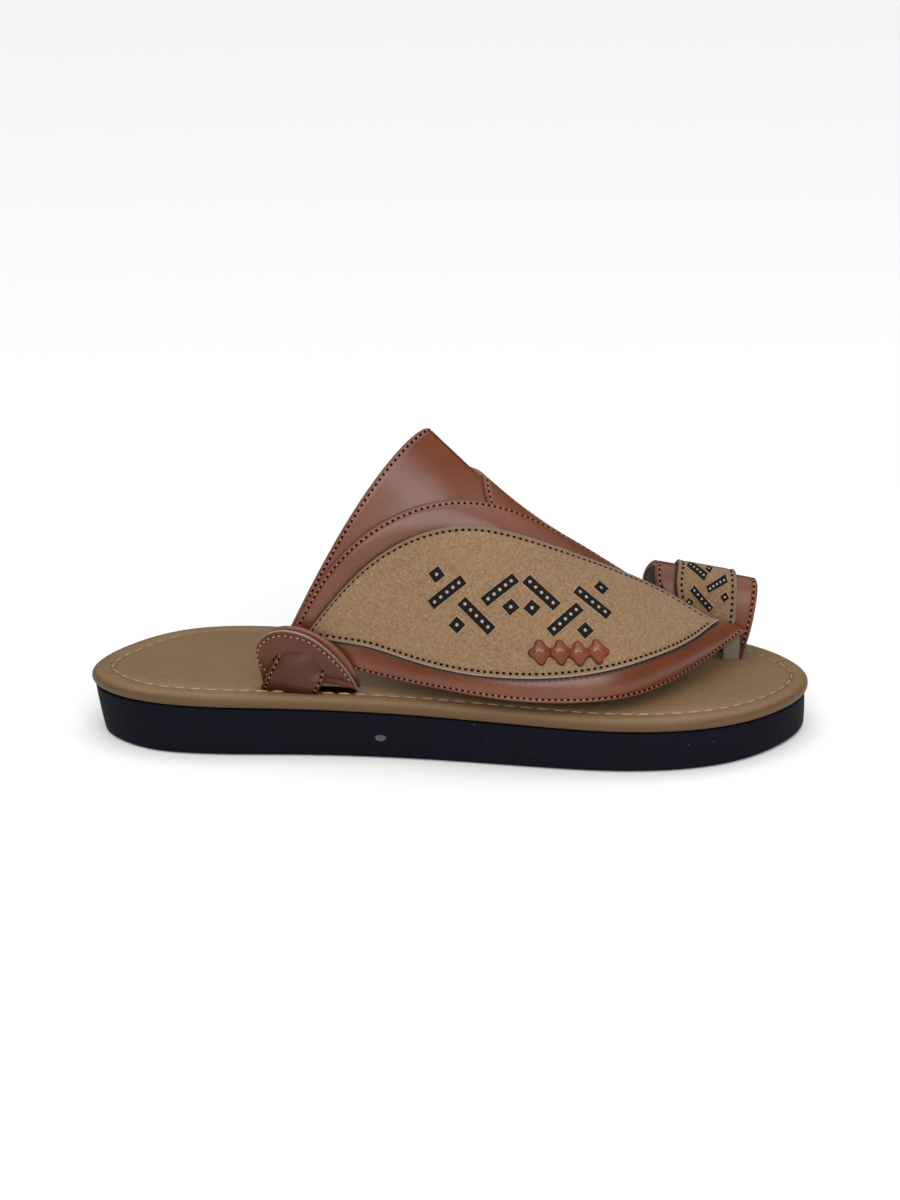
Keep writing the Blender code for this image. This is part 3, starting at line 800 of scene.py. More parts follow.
def slopes(surface, s, t):
    """How a surface's points move with each of its two values."""
    small = 1e-3
    by_s = (surface(s + small, t) - surface(s - small, t)) / (2 * small)
    by_t = (surface(s, t + small) - surface(s, t - small)) / (2 * small)
    return by_s, by_t


def facing(surface, s, t, turn=1):
    """Directions out of a surface."""
    return unit(np.cross(*slopes(surface, s, t))) * turn


def crowded(total, lines):
    """Shares of a width with lines set close to both edges and even steps between them."""
    near = np.array(EDGE_LINES) * MM / max(total, 1e-6)
    near = near * min(1.0, CLOSE_LINES_MOST / near[-1])
    middle = np.linspace(near[-1], 1 - near[-1], lines)
    return np.concatenate([near[:-1], middle, (1 - near[:-1])[::-1]])


class Panel:
    """A cut of leather on a form. Rows of its table cross it: place at one edge, place at the other."""

    def __init__(self, surface, rows, long_lines, wide_lines, turn=1):
        table = np.array(rows, float)
        edges = curve_through(np.linspace(0, 1, len(table)), table)
        steps = np.linspace(0, 1, 41)
        rough = edges(steps)
        middle = (rough[:, :2] + rough[:, 2:]) / 2
        run = travelled(surface(middle[:, 0], middle[:, 1]))
        ends = edges(np.interp(crowded(run[-1], long_lines) * run[-1], run, steps))

        def across(share):
            return [ends[:, [k]] + (ends[:, [k + 2]] - ends[:, [k]]) * share for k in (0, 1)]

        fine = np.linspace(0, 1, 81)
        width = travelled(surface(*across(fine)), axis=1)
        share = np.stack([np.interp(crowded(w[-1], wide_lines) * w[-1], w, fine) for w in width])
        self.s, self.t = across(share)
        self.base = surface(self.s, self.t)
        self.out = facing(surface, self.s, self.t, turn)
        wide = travelled(self.base, axis=1) / MM
        long = travelled(self.base, axis=0) / MM
        lower, end = wide[:, -1:] - wide, long[-1:] - long
        self.from_edge = {"upper": wide, "lower": lower, "start": long, "end": end}
        self.edge = np.minimum.reduce(list(self.from_edge.values()))

    def shape(self, height, wall, roll, lift=0.0):
        """Sets the faces: height of the outer one over the form, wall, and radius of the edge in mm."""
        full = np.clip(self.edge / roll, 0, 1)
        drop = (1 - np.sqrt(1 - (1 - full) ** 2))[..., None] * wall / 2
        height = np.broadcast_to(height, self.s.shape)[..., None]
        lift = (np.broadcast_to(lift, self.s.shape) * MM * full)[..., None]
        self.face = self.base + self.out * (height + lift - drop)
        self.inside = self.base + self.out * (height - wall + drop)

    def make(self, name, finishes, shade=0.0):
        """One closed leather piece: outer face, turned edges and lining; shade darkens the outer face."""
        points = np.concatenate([self.face, self.inside[:, ::-1]], axis=1)
        rows, columns = self.s.shape
        edge = np.concatenate([self.edge, self.edge[:, ::-1]], axis=1)
        parts = np.zeros((rows - 1, 2 * columns - 1), int)
        lined = edge[:-1, :-1] > TURNED_UNDER
        lined[:, :columns] = False
        parts[lined] = len(finishes) - 1
        shade = np.broadcast_to(shade, self.s.shape)
        shade = np.concatenate([shade, 0 * shade], axis=1)
        return close_piece(name, [lay_grid(name, points, parts, edge=edge, shade=shade)], finishes)

    def line(self, side, inset, trim=(0.0, 0.0)):
        """Line on the outer face at an inset from one edge, with its directions out; trim in mm."""
        away, face, out = self.from_edge[side], self.face, self.out
        if side in ("start", "end"):
            away, face, out = away.T, face.transpose(1, 0, 2), out.transpose(1, 0, 2)
        if side in ("lower", "end"):
            away, face, out = away[:, ::-1], face[:, ::-1], out[:, ::-1]
        wide = away[:, -1] > 2 * inset
        points = np.array([sampled(inset, a, across) for a, across in zip(away, face)])[wide]
        up = np.array([sampled(inset, a, across) for a, across in zip(away, out)])[wide]
        gone = travelled(points) / MM
        keep = (gone >= trim[0]) & (gone <= gone[-1] - trim[1])
        return points[keep], up[keep]


def seam_groove(edge, inset=EDGE_SEAM):
    """Trough that a row of stitches pulls beside an edge, and the bead left outside it, in mm."""
    trough = SEAM_DEPTH * np.exp(-((edge - inset) / SEAM_REACH) ** 2)
    bead = SEAM_BEAD * np.exp(-((edge - BEAD_PLACE * inset) / SEAM_REACH) ** 2)
    return bead - trough


def sew(name, lines, pitch, finishes, thread=STRAP_STITCH, hole=NEEDLE_HOLE):
    """Rows of stitches with dark needle holes; sizes are half lengths, widths and heights in mm."""
    groups = []
    for points, out in lines:
        groups.append((*stations_on(points, out, pitch, 0.5), *(v * MM for v in thread), 0))
        groups.append((*stations_on(points, out, pitch, 0.0), *(v * MM for v in hole), 1))
    fit(scatter_grains(name, groups, finishes), "thread")


def saddle_height(around):
    """The saddle lies under one layer on the outer side and under two at the top."""
    outer, inner = SADDLE_STEP
    return -LAYER_STEP * (1 + (SADDLE_LAYERS - 1) * ease((around - outer) / (inner - outer)))


strap_brown = brown_leather("strap_leather")
lining = grey_lining("lining_leather", rgb(104, 101, 92), rgb(126, 122, 112))
strap_thread = plain_dye("strap_thread", rgb(166, 112, 93), 0.55)
strap_sewing = (STRAP_STITCH_PITCH, [strap_thread, needle_hole])
saddle = Panel(arch_point, SADDLE, long_lines=150, wide_lines=44)
saddle_groove = seam_groove(saddle.from_edge["upper"], SADDLE_SEAM)
saddle.shape(saddle_height(saddle.t), LEATHER, TURNED_EDGE, saddle_groove)
fit(saddle.make("saddle", [strap_brown, lining]), "strap_leather", "upper")
sew("saddle_stitches", [saddle.line("upper", SADDLE_SEAM, trim=(14, 14))], *strap_sewing)


# Inner wing: the strap that comes up from the big-toe side, over the saddle and under the outer wing.
# Plain brown leather, lined, with all its edges turned and sewn.

# Inner wing on the arches: along and around at its rear edge, then along and around at its lower edge
MEDIAL_WING = (
    (0.000, 1.00, 0.12, 1.00),
    (0.012, 0.83, 0.20, 1.00),
    (0.045, 0.62, 0.28, 1.00),
    (0.090, 0.38, 0.36, 1.00),
    (0.148, 0.15, 0.44, 1.00),
    (0.189, -0.03, 0.50, 1.00),
    (0.222, -0.14, 0.56, 1.00),
    (0.290, -0.23, 0.61, 1.00),
    (0.450, -0.24, 0.66, 1.00),
    (0.690, -0.15, 0.69, 0.94),
)
inner_wing = Panel(arch_point, MEDIAL_WING, long_lines=150, wide_lines=50)
inner_wing.shape(-LAYER_STEP, LEATHER, TURNED_EDGE, seam_groove(inner_wing.edge))
fit(inner_wing.make("inner_wing", [strap_brown, lining]), "strap_leather", "upper")
sew("inner_wing_stitches", [
    inner_wing.line("upper", EDGE_SEAM, trim=(10, 30)),
    inner_wing.line("lower", EDGE_SEAM, trim=(10, 2)),
    inner_wing.line("end", EDGE_SEAM, trim=(2, 30)),
], *strap_sewing)


# Outer wing: the large strap that shows most. Its brown border is softly padded between the seam
# and the nubuck panel, and its thick turned edge stands clear of the footbed.
WING_EDGE = 1.4
DOME = 0.5
DOME_WIDTH = 10.0
DOME_MOST = 1.2
COVER_TROUGH_ABOVE = 0.165
COVER_TROUGH_BELOW = 0.275
COVER_TROUGH_REACH = 1.3
COVER_TROUGH_FRONT = (0.25, 0.50)
COVER_STEPS = 90
LOWER_SEAM = 2.1
SHADE_ABOVE = 0.25
SHADE_ABOVE_REACH = 0.7
SHADE_BELOW = 0.95
SHADE_BELOW_REACH = 1.45

# Outer wing and nubuck panel on the arches: along and around at the upper edge, then at the lower edge
LATERAL_WING = (
    (0.006, -1.000, 0.13, -1.00),
    (0.009, -0.840, 0.20, -1.00),
    (0.032, -0.670, 0.28, -1.00),
    (0.088, -0.490, 0.37, -1.00),
    (0.170, -0.312, 0.46, -1.00),
    (0.290, -0.135, 0.56, -1.00),
    (0.435, -0.037, 0.67, -1.00),
    (0.620, 0.000, 0.79, -1.00),
    (0.820, 0.000, 0.91, -1.00),
    (1.000, 0.000, 1.01, -1.05),
)
LATERAL_OVERLAY = (
    (0.038, -0.952, 0.044, -0.960),
    (0.072, -0.755, 0.105, -0.936),
    (0.118, -0.595, 0.180, -0.911),
    (0.185, -0.448, 0.265, -0.912),
    (0.275, -0.319, 0.360, -0.909),
    (0.401, -0.220, 0.460, -0.885),
    (0.540, -0.138, 0.573, -0.841),
    (0.680, -0.055, 0.690, -0.763),
    (0.800, -0.026, 0.800, -0.660),
    (0.905, -0.120, 0.905, -0.540),
    (0.972, -0.325, 0.972, -0.325),
)


def inside_outline(s, t, outline):
    """Whether places lie inside a closed outline on the form."""
    inside = np.zeros(s.shape, bool)
    for (s0, t0), (s1, t1) in zip(outline, np.roll(outline, -1, axis=0)):
        crosses = (t0 > t) != (t1 > t)
        reach = s0 + (t - t0) * (s1 - s0) / np.where(t1 == t0, 1e-9, t1 - t0)
        inside ^= crosses & (s < reach)
    return inside


def distance_to(points, line):
    """Distance in mm from each point to the nearest of a line's points."""
    near = np.full(points.shape[:-1], np.inf)
    for place in line:
        near = np.minimum(near, np.linalg.norm(points - place, axis=-1))
    return near / MM


outer_wing = Panel(arch_point, LATERAL_WING, long_lines=210, wide_lines=110)
cover_curve = curve_through(np.linspace(0, 1, len(LATERAL_OVERLAY)), LATERAL_OVERLAY)
cover_edges = cover_curve(np.linspace(0, 1, COVER_STEPS))
cover_outline = np.concatenate([cover_edges[:, :2], cover_edges[::-1, 2:]])
above_cover = distance_to(outer_wing.base, arch_point(cover_edges[:, 0], cover_edges[:, 1]))
below_cover = distance_to(outer_wing.base, arch_point(cover_edges[:, 2], cover_edges[:, 3]))
to_cover = np.minimum(above_cover, below_cover)
under_cover = inside_outline(outer_wing.s, outer_wing.t, cover_outline)
border = np.maximum(outer_wing.edge + to_cover, 1e-6)
swell = 4 * outer_wing.edge * to_cover / border**2
dome = np.where(under_cover, 0, DOME * swell * np.minimum(border / DOME_WIDTH, DOME_MOST))
rear, front = COVER_TROUGH_FRONT
sunk_below = COVER_TROUGH_BELOW * ease((outer_wing.s - rear) / (front - rear))
sunk = np.where(above_cover < below_cover, COVER_TROUGH_ABOVE, sunk_below)
trough = sunk * np.exp(-(to_cover / COVER_TROUGH_REACH) ** 2)
nearer_lower = outer_wing.from_edge["lower"] < outer_wing.from_edge["upper"]
groove = seam_groove(outer_wing.edge, np.where(nearer_lower, LOWER_SEAM, EDGE_SEAM))
outer_wing.shape(0.0, LEATHER, WING_EDGE, dome - trough + groove)
# Painted shadow: the brown leather is darkened in a faint line above the nubuck panel and a strong line
# below its lower edge, where the panel's edge casts shade.
shade_above = SHADE_ABOVE * np.exp(-(above_cover / SHADE_ABOVE_REACH) ** 2)
shade_below = SHADE_BELOW * np.exp(-(below_cover / SHADE_BELOW_REACH) ** 4)
painted_shadow_beside_cover = np.maximum(shade_above, shade_below)
fit(outer_wing.make("outer_wing", [strap_brown, lining], painted_shadow_beside_cover), "strap_leather", "upper")
sew("outer_wing_stitches", [
    outer_wing.line("upper", EDGE_SEAM, trim=(4, 2)),
    outer_wing.line("lower", LOWER_SEAM, trim=(6, 2)),
], *strap_sewing)


# Nubuck panel: a leaf of matt tan nubuck sewn flat on the outer wing, its cut edge left raw; the lower edge
# is pale, partly its own colour and partly painted highlight.
# Dark leather strips with silver dots are set in it in a zigzag of bars and small squares.
OVERLAY = 1.4 * MM
COVER_SEAM = 1.9
COVER_LOWER_SEAM = 1.65
COVER_STITCH_PITCH = 2.45 * MM
COVER_STITCH = (0.6, 0.26, 0.1)
COVER_HOLE = (0.66, 0.68, 0.34)
COVER_EDGE = 0.4
CUT_EDGE = 0.7
CUT_EDGE_FADE = 0.35
CREASE_REACH = 1.9
CREASE_STEPS = 24
BAR_BEYOND = 2.0
BAR_WIDE = 4.1
SQUARE_SIDE = 4.55
INLAY_RISE = 0.35
INLAY_ROOT = 0.3
PLATE_LINES = (13, 6)
PLATE_ROUNDS = 4
DOTS_ON_BAR = 5
DOT_HALF = 0.72
DOT_RISE = 0.12
LIP = 0.34
LIP_RISE = 0.14

# Creases where the panel bends towards its tip: along and around at both ends, depth
CREASES = (
    (0.735, -0.20, 0.712, -0.36, 0.28),
    (0.790, -0.24, 0.762, -0.44, 0.36),
    (0.845, -0.30, 0.815, -0.46, 0.26),
)

# Bars on the panel: along and around of the first dot, then of the last dot
BARS = (
    (0.259, -0.687, 0.286, -0.585),
    (0.318, -0.648, 0.384, -0.697),
    (0.359, -0.592, 0.389, -0.480),
    (0.431, -0.444, 0.504, -0.490),
    (0.529, -0.608, 0.563, -0.478),
    (0.557, -0.376, 0.634, -0.430),
)

# Squares on the panel: along and around of the dot, number of the bar that it is turned with, side
SQUARES = (
    (0.236, -0.595, 0, SQUARE_SIDE),
    (0.321, -0.733, 1, SQUARE_SIDE),
    (0.414, -0.584, 2, SQUARE_SIDE),
    (0.461, -0.551, 3, SQUARE_SIDE),
    (0.605, -0.295, 5, SQUARE_SIDE),
    (0.600, -0.568, 4, SQUARE_SIDE),
)


def tan_nubuck(name, depth=1.0):
    soft = {"Specular IOR Level": 0.2, "Sheen Weight": 0.05, "Sheen Roughness": 0.6}
    finish, shader, place = new_finish(name, soft)
    # The shade mark here carries the pale lower edge: partly the raw edge's own colour, partly painted
    # highlight.
    cut = marked(place, "shade")
    cloud = noise(place, 42, 5, 0.6)
    nap = noise(place, 1500, 4, 0.7)
    pebbles = place.node("TexVoronoi", {"Vector": place, "Scale": 1300}, feature="SMOOTH_F1")
    pits = noise(place, 900, 1)
    tan = [rgb(*(depth * v for v in shade)) for shade in ((115, 88, 61), (123, 96, 69), (143, 115, 87))]
    hide = place.node("TexNoise", {"Vector": place, "Scale": 1250, "Detail": 2, "Distortion": 1.2})
    tone = cloud.between(0.3, 0.7).mix(tan[0], tan[1])
    mottled = (hide * 0.7 + nap * 0.3).between(0.4, 0.6).mix(tone, tan[2])
    pebbled = (pebbles.between(0.35, 0.75) * 0.3).mix(mottled, rgb(98, 73, 49))
    pitted = (pits.between(0.66, 0.74) * 0.4).mix(pebbled, rgb(94, 68, 46))
    margin = marked(place, "edge").between(1.9, 1.5) * 0.7
    colour = cut.mix(margin.mix(pitted, rgb(114, 95, 78)), rgb(158, 138, 118))
    height = nap * 0.35 - pebbles * 0.35 + hide * 0.9
    bump = relief(height, 0.9, 0.32)
    wear(shader, {"Base Color": colour, "Roughness": 0.82 + nap * 0.12, "Normal": bump})
    return finish


class Inlay:
    """Flat leather chips and their dots, laid on a panel's outer face."""

    def __init__(self, surface, height, lip, dot_half):
        self.surface = surface
        self.height = height
        self.lip = lip
        self.dot_half = dot_half
        self.chips = []
        self.lips = []
        self.dots = []

    def over(self, s, t, rise):
        out = facing(self.surface, s, t)
        return self.surface(s, t) + out * (self.height + rise)

    def local(self, s, t, direction):
        """A chip's directions along and across it, and the steps of s and t for one metre of each."""
        by_s, by_t = slopes(self.surface, s, t)
        ahead = unit(by_s * direction[0] + by_t * direction[1])
        side = np.cross(facing(self.surface, s, t), ahead)
        frame = np.stack([by_s, by_t], axis=1)
        axes = np.stack([ahead, side], axis=1)
        return axes, np.linalg.lstsq(frame, axes, rcond=None)[0]

    def chip(self, s, t, direction, long, wide):
        """A dark chip in a slightly larger cut-out with a pale lip."""
        self.lips.append(self.plate(s, t, direction, long + 2 * self.lip, wide + 2 * self.lip, LIP_RISE))
        self.chips.append(self.plate(s, t, direction, long, wide, INLAY_RISE))

    def plate(self, s, t, direction, long, wide, height):
        """A thin plate with square edges, standing a little above the panel."""
        axes, steps = self.local(s, t, direction)
        p, q = (np.pad(np.linspace(-0.5, 0.5, lines), 2, mode="edge") for lines in PLATE_LINES)
        p, q = np.meshgrid(p * long * MM, q * wide * MM, indexing="ij")
        rise = np.full(p.shape, height * MM)
        rise[[0, -1]] = -INLAY_ROOT * MM
        rise[:, [0, -1]] = -INLAY_ROOT * MM
        wanted = np.stack([p, q], axis=-1)
        places = wanted @ steps.T
        for _ in range(PLATE_ROUNDS):
            reached = (self.surface(s + places[..., 0], t + places[..., 1]) - self.surface(s, t)) @ axes
            places = places + (wanted - reached) @ steps.T
        return lay_grid("plate", self.over(s + places[..., 0], t + places[..., 1], rise[..., None]))

    def dot(self, s, t, direction):
        axes, _ = self.local(s, t, direction)
        self.dots.append((self.over(s, t, INLAY_RISE * MM), axes[:, 0], facing(self.surface, s, t)))

    def bar(self, s0, t0, s1, t1, beyond, wide):
        """A chip with a row of dots from the first place to the last; it reaches beyond them in mm."""
        direction = np.array([s1 - s0, t1 - t0])
        span = np.linalg.norm(self.surface(s1, t1) - self.surface(s0, t0)) / MM
        self.chip((s0 + s1) / 2, (t0 + t1) / 2, direction, span + 2 * beyond, wide)
        for share in np.linspace(0, 1, DOTS_ON_BAR):
            self.dot(s0 + direction[0] * share, t0 + direction[1] * share, direction)

    def lay(self, bars, squares, beyond, wide):
        """Lays the bars, then the squares, each square turned like one of the bars."""
        turns = []
        for s0, t0, s1, t1 in bars:
            self.bar(s0, t0, s1, t1, beyond, wide)
            turns.append(np.array([s1 - s0, t1 - t0]))
        for s, t, bar, side in squares:
            self.chip(s, t, turns[bar], side, side)
            self.dot(s, t, turns[bar])

    def make(self, name, strips, lip, silver):
        fit(close_piece(name + "_strips", self.chips, [strips]), "inlay")
        fit(close_piece(name + "_lips", self.lips, [lip]), "nubuck")
        centre, ahead, out = (np.array(column) for column in zip(*self.dots))
        group = (centre, ahead, out, self.dot_half * MM, self.dot_half * MM, DOT_RISE * MM, 0)
        fit(scatter_grains(name + "_dots", [group], [silver]), "stud")


def dark_strip():
    finish, shader, place = new_finish("dark_strip", {"Specular IOR Level": 0.06})
    grain = noise(place, 1600, 3)
    colour = grain.between(0.35, 0.7).mix(rgb(20, 16, 14), rgb(31, 26, 22))
    bump = relief(grain, 0.3, 0.1)
    wear(shader, {"Base Color": colour, "Roughness": 0.5 + grain * 0.2, "Normal": bump})
    return finish


def silver_dot():
    finish, shader, place = new_finish("silver_dot", {"Metallic": 0.35})
    grain = noise(place, 2400, 2)
    colour = grain.between(0.3, 0.7).mix(rgb(128, 121, 116), rgb(160, 153, 148))
    wear(shader, {"Base Color": colour, "Roughness": 0.4 + grain * 0.2})
    return finish


nubuck = tan_nubuck("nubuck")
strips = dark_strip()
silver = silver_dot()
pale_lip = plain_dye("pale_lip", rgb(160, 136, 108), 0.8)
cover_thread = plain_dye("cover_thread", rgb(134, 106, 80), 0.7)
cover_sewing = (COVER_STITCH_PITCH, [cover_thread, needle_hole], COVER_STITCH, COVER_HOLE)
cover = Panel(arch_point, LATERAL_OVERLAY, long_lines=170, wide_lines=50)
bend = np.zeros(cover.s.shape)
for s0, t0, s1, t1, depth in CREASES:
    share = np.linspace(0, 1, CREASE_STEPS)
    crease = arch_point(s0 + (s1 - s0) * share, t0 + (t1 - t0) * share)
    bend -= depth * np.exp(-(distance_to(cover.base, crease) / CREASE_REACH) ** 2)
cover.shape(FIT_GAP + OVERLAY, OVERLAY, COVER_EDGE, bend + seam_groove(cover.edge, COVER_SEAM))
# The pale band along the lower edge is partly the raw edge's own colour and partly a painted highlight where
# the edge catches the light.
pale_edge_and_highlight = ease((CUT_EDGE - cover.from_edge["lower"]) / CUT_EDGE_FADE)
fit(cover.make("nubuck_panel", [nubuck], pale_edge_and_highlight), "nubuck", "lateral_overlay")
sew("nubuck_panel_stitches", [
    cover.line("upper", COVER_SEAM, trim=(1, 1)),
    cover.line("lower", COVER_LOWER_SEAM, trim=(1, 1)),
], *cover_sewing)

panel_inlay = Inlay(arch_point, FIT_GAP + OVERLAY, LIP, DOT_HALF)
panel_inlay.lay(BARS, SQUARES, BAR_BEYOND, BAR_WIDE)
panel_inlay.make("panel_inlay", strips, pale_lip, silver)


# Knots: four small leather diamonds folded from one strip, their points touching in a chain
# along the lower part of the nubuck panel. Each is puffed, with two side points and two rounder lobes.
KNOT_HALF_LONG = 4.7
KNOT_HALF_WIDE = 5.0
KNOT_WAIST = 0.3
KNOT_RISE = 3.3
KNOT_CREST = (-0.8, 1.0)
KNOT_LEAN = math.radians(8)
KNOT_ROOT = 0.3
KNOT_SHADE_START = 0.72
KNOT_SHADE = (0.3325, 0.57)
KNOT_BURNISH = (0.4, 0.22)
KNOT_BURNISH_REAR = 0.1
KNOT_RINGS = 20
KNOT_SPOKES = 72
KNOT_EASE = 1.5
FAR_FROM_EDGE = 4.0

# Knot profile: power of its slope along the chain, how much less that is across it, power of the top
KNOT_PROFILE = (2.4, 1.1, 0.75)

# Knots on the arches: along and around of each foot
KNOTS = (
    (0.517, -0.734),
    (0.561, -0.712),
    (0.602, -0.697),
    (0.643, -0.668),
)
knot_brown = brown_leather("knot_leather", 1.08, 0.08, shine=0.22)
knot_row = arch_point(*np.array([KNOTS[0], KNOTS[-1]]).T)
for number, (s, t) in enumerate(KNOTS):
    foot = arch_point(s, t)
    out = facing(arch_point, s, t)
    chain = knot_row[1] - knot_row[0]
    chain = unit(chain - out * (chain @ out))
    up = np.cross(out, chain)
    angle = np.linspace(0, 2 * math.pi, KNOT_SPOKES + 1)
    oval = 1 / np.hypot(np.cos(angle) / KNOT_HALF_LONG, np.sin(angle) / KNOT_HALF_WIDE)
    share = np.sin(np.linspace(0, math.pi / 2, KNOT_RINGS))[:, None]
    reach = oval * (1 - KNOT_WAIST * share**KNOT_EASE * (1 - np.cos(4 * angle)) / 2)
    turned = angle + KNOT_LEAN * np.sin(angle) ** 2
    middle = (1 - share) ** KNOT_EASE
    ahead = ((share * reach * np.cos(turned) + KNOT_CREST[0] * middle) * MM)[..., None] * chain
    aside = ((share * reach * np.sin(turned) + KNOT_CREST[1] * middle) * MM)[..., None] * up
    slope, less_across, top_power = KNOT_PROFILE
    crest = KNOT_RISE * (1 - share ** (slope - less_across * np.sin(angle) ** 2)) ** top_power
    rise = FIT_GAP + OVERLAY + (crest - KNOT_ROOT) * MM
    grid = foot + ahead + aside + rise[..., None] * out
    # Painted shade: each knot is darkened near its rim, and more on its lower side, where it lies in shadow.
    below = (1 - np.sin(angle)) / 2
    near_rim = ease((share - KNOT_SHADE_START) / (1 - KNOT_SHADE_START))
    shade = near_rim * (KNOT_SHADE[0] + KNOT_SHADE[1] * below)
    off_crest = np.hypot(
        (share * np.cos(angle) + KNOT_BURNISH_REAR) / KNOT_BURNISH[0],
        share * np.sin(angle) / KNOT_BURNISH[1],
    )
    burnish = np.exp(-off_crest**2)
    laid = lay_grid("knot", grid, edge=np.full(shade.shape, FAR_FROM_EDGE), shade=shade, burnish=burnish)
    knot = close_piece(f"knot_fold_{number + 1}", [laid], [knot_brown])
    fit(knot, "strap_leather", f"knot_{number + 1}")


# Keepers: half-moon tabs of two leather layers sewn together, one on each side at the upper's rear end.
# A strap comes out of a slit in each, bows outwards and goes down into the footbed.
KEEPER_LATERAL_X = -53 * MM
KEEPER_MEDIAL_X = -25 * MM
KEEPER_Y = 22.6 * MM
KEEPER_TURN = math.radians(9.5)
KEEPER_LEAN = math.radians(11)
KEEPER_WALL = 1.6 * MM
KEEPER_LAYER_GAP = 0.05 * MM
KEEPER_FRONT_EDGE = 0.45
KEEPER_BACK_EDGE = 0.7
KEEPER_SEAM = 2.2
KEEPER_GROOVE = 0.6
KEEPER_STITCH_PITCH = 2.4 * MM
KEEPER_STITCH = (0.78, 0.3, 0.3)
KEEPER_HOLE = (0.3, 0.28, 0.1)
KEEPER_SHADE = 0.85
KEEPER_SHADE_SPAN = (3.0, 6.0)
SLIT_REACH = (-6 * MM, 8 * MM)

# Keeper layers: along and up at the top edge, then along and up at the bottom edge
KEEPER_FRONT = (
    (-18.0, 13.0, -16.9, 1.4),
    (-17.6, 18.4, -15.6, 1.4),
    (-14.0, 22.9, -13.0, 1.4),
    (-9.9, 25.0, -9.5, 1.5),
    (-5.7, 25.5, -5.5, 1.7),
    (-0.2, 24.6, -0.5, 2.2),
    (4.4, 22.5, 4.0, 2.8),
    (8.9, 18.8, 8.2, 3.1),
    (13.1, 14.3, 12.4, 2.8),
    (16.3, 9.7, 15.8, 2.1),
    (18.8, 5.0, 18.5, 1.2),
    (20.5, 0.4, 20.5, 0.4),
)
KEEPER_BACK = (
    (-16.0, 14.0, -15.2, 1.6),
    (-15.6, 19.5, -14.0, 1.6),
    (-12.8, 23.4, -11.6, 1.6),
    (-8.8, 25.8, -8.4, 1.7),
    (-4.4, 26.4, -4.2, 1.9),
    (1.0, 25.7, 0.6, 2.4),
    (6.6, 23.2, 5.6, 3.0),
    (11.8, 19.4, 10.4, 3.2),
    (16.2, 14.2, 14.8, 2.8),
    (19.1, 8.8, 18.0, 2.2),
    (20.4, 4.8, 19.8, 1.4),
    (20.8, 0.8, 20.8, 0.8),
)

# A straight strip cut square at both ends: run and side at one edge, then run and side at the other
STRAIGHT_STRIP = (
    (0.0, -1, 0.0, 1),
    (0.5, -1, 0.5, 1),
    (1.0, -1, 1.0, 1),
)

# Strap tail in the keeper's own axes: along it, up it, out of it, half width of the strap,
# how far its front edge curls back under the keeper
TAIL = (
    (-2.5, 20.0, -4.5, 7.0, 0.0),
    (-2.2, 17.5, -1.5, 8.0, 0.5),
    (-1.8, 16.0, 0.8, 8.4, 1.0),
    (-1.2, 14.3, 2.8, 8.8, 2.2),
    (-1.8, 11.5, 4.8, 9.9, 4.2),
    (-2.6, 8.0, 6.2, 11.0, 4.4),
    (-3.7, 4.6, 6.6, 11.5, 1.6),
    (-5.5, 1.2, 6.2, 11.2, 0.2),
    (-7.0, -3.9, 5.2, 11.0, 0.0),
)

# Slit in the front layer, round from its rear shoulder over its arch: along and up
SLIT = (
    (-12.2, 11.8),
    (-9.2, 14.8),
    (-4.3, 16.2),
    (-0.7, 16.0),
    (2.2, 14.8),
    (5.3, 12.3),
    (7.1, 9.3),
    (7.4, 6.2),
    (3.0, 4.2),
    (-4.0, 4.4),
    (-10.0, 7.4),
)


def keeper_axes(side):
    """Foot point of a keeper, then its axes along, up and out; side is -1 lateral, +1 medial."""
    x = KEEPER_LATERAL_X if side < 0 else KEEPER_MEDIAL_X
    foot = np.array([x, side * KEEPER_Y, outsole_top(x) + 2 * FIT_GAP + RIM_THICKNESS])
    along = np.array([math.cos(KEEPER_TURN), side * math.sin(KEEPER_TURN), 0])
    flat_out = np.array([-math.sin(KEEPER_TURN), side * math.cos(KEEPER_TURN), 0])
    rise = np.array([0, 0, 1])
    up = rise * math.cos(KEEPER_LEAN) + flat_out * math.sin(KEEPER_LEAN)
    out = flat_out * math.cos(KEEPER_LEAN) - rise * math.sin(KEEPER_LEAN)
    return foot, along, up, out


def keeper_surface(side):
    foot, along, up, _ = keeper_axes(side)

    def at(a, b):
        a, b = paired(a, b)
        return foot + (a[..., None] * along + b[..., None] * up) * MM

    return at


def tail_surface(side):
    foot, along, up, out = keeper_axes(side)
    course = curve_through(np.linspace(0, 1, len(TAIL)), np.array(TAIL) * MM)

    def at(run, wide):
        run, wide = paired(run, wide)
        row = course(np.clip(run, 0, 1))
        a = row[..., 0] + wide * row[..., 3]
        lift = row[..., 2] - row[..., 4] * ((1 + wide) / 2) ** 3
        return foot + a[..., None] * along + row[..., 1:2] * up + lift[..., None] * out

    return at


def cut_slit(layer, side):
    """Cuts the arched slit that the strap comes out of."""
    foot, along, up, out = keeper_axes(side)
    edge = closed_curve(np.array(SLIT), 61)
    ring = foot + (edge[:, :1] * along + edge[:, 1:] * up) * MM
    wall = lay_grid("slit_wall", np.stack([ring + height * out for height in SLIT_REACH]))
    centre = ring[:-1].mean(axis=0)
    caps = []
    for height in SLIT_REACH:
        fan = np.stack([ring, np.broadcast_to(centre, ring.shape)]) + height * out
        caps.append(lay_grid("slit_cap", fan))
    cutter = close_piece("slit_cutter", [wall, *caps], [])
    bpy.ops.object.select_all(action="DESELECT")
    bpy.context.view_layer.objects.active = layer
    cut = layer.modifiers.new("slit", "BOOLEAN")
    cut.operation = "DIFFERENCE"
    cut.object = cutter
    bpy.ops.object.modifier_apply(modifier="slit")
    bpy.data.objects.remove(cutter, do_unlink=True)


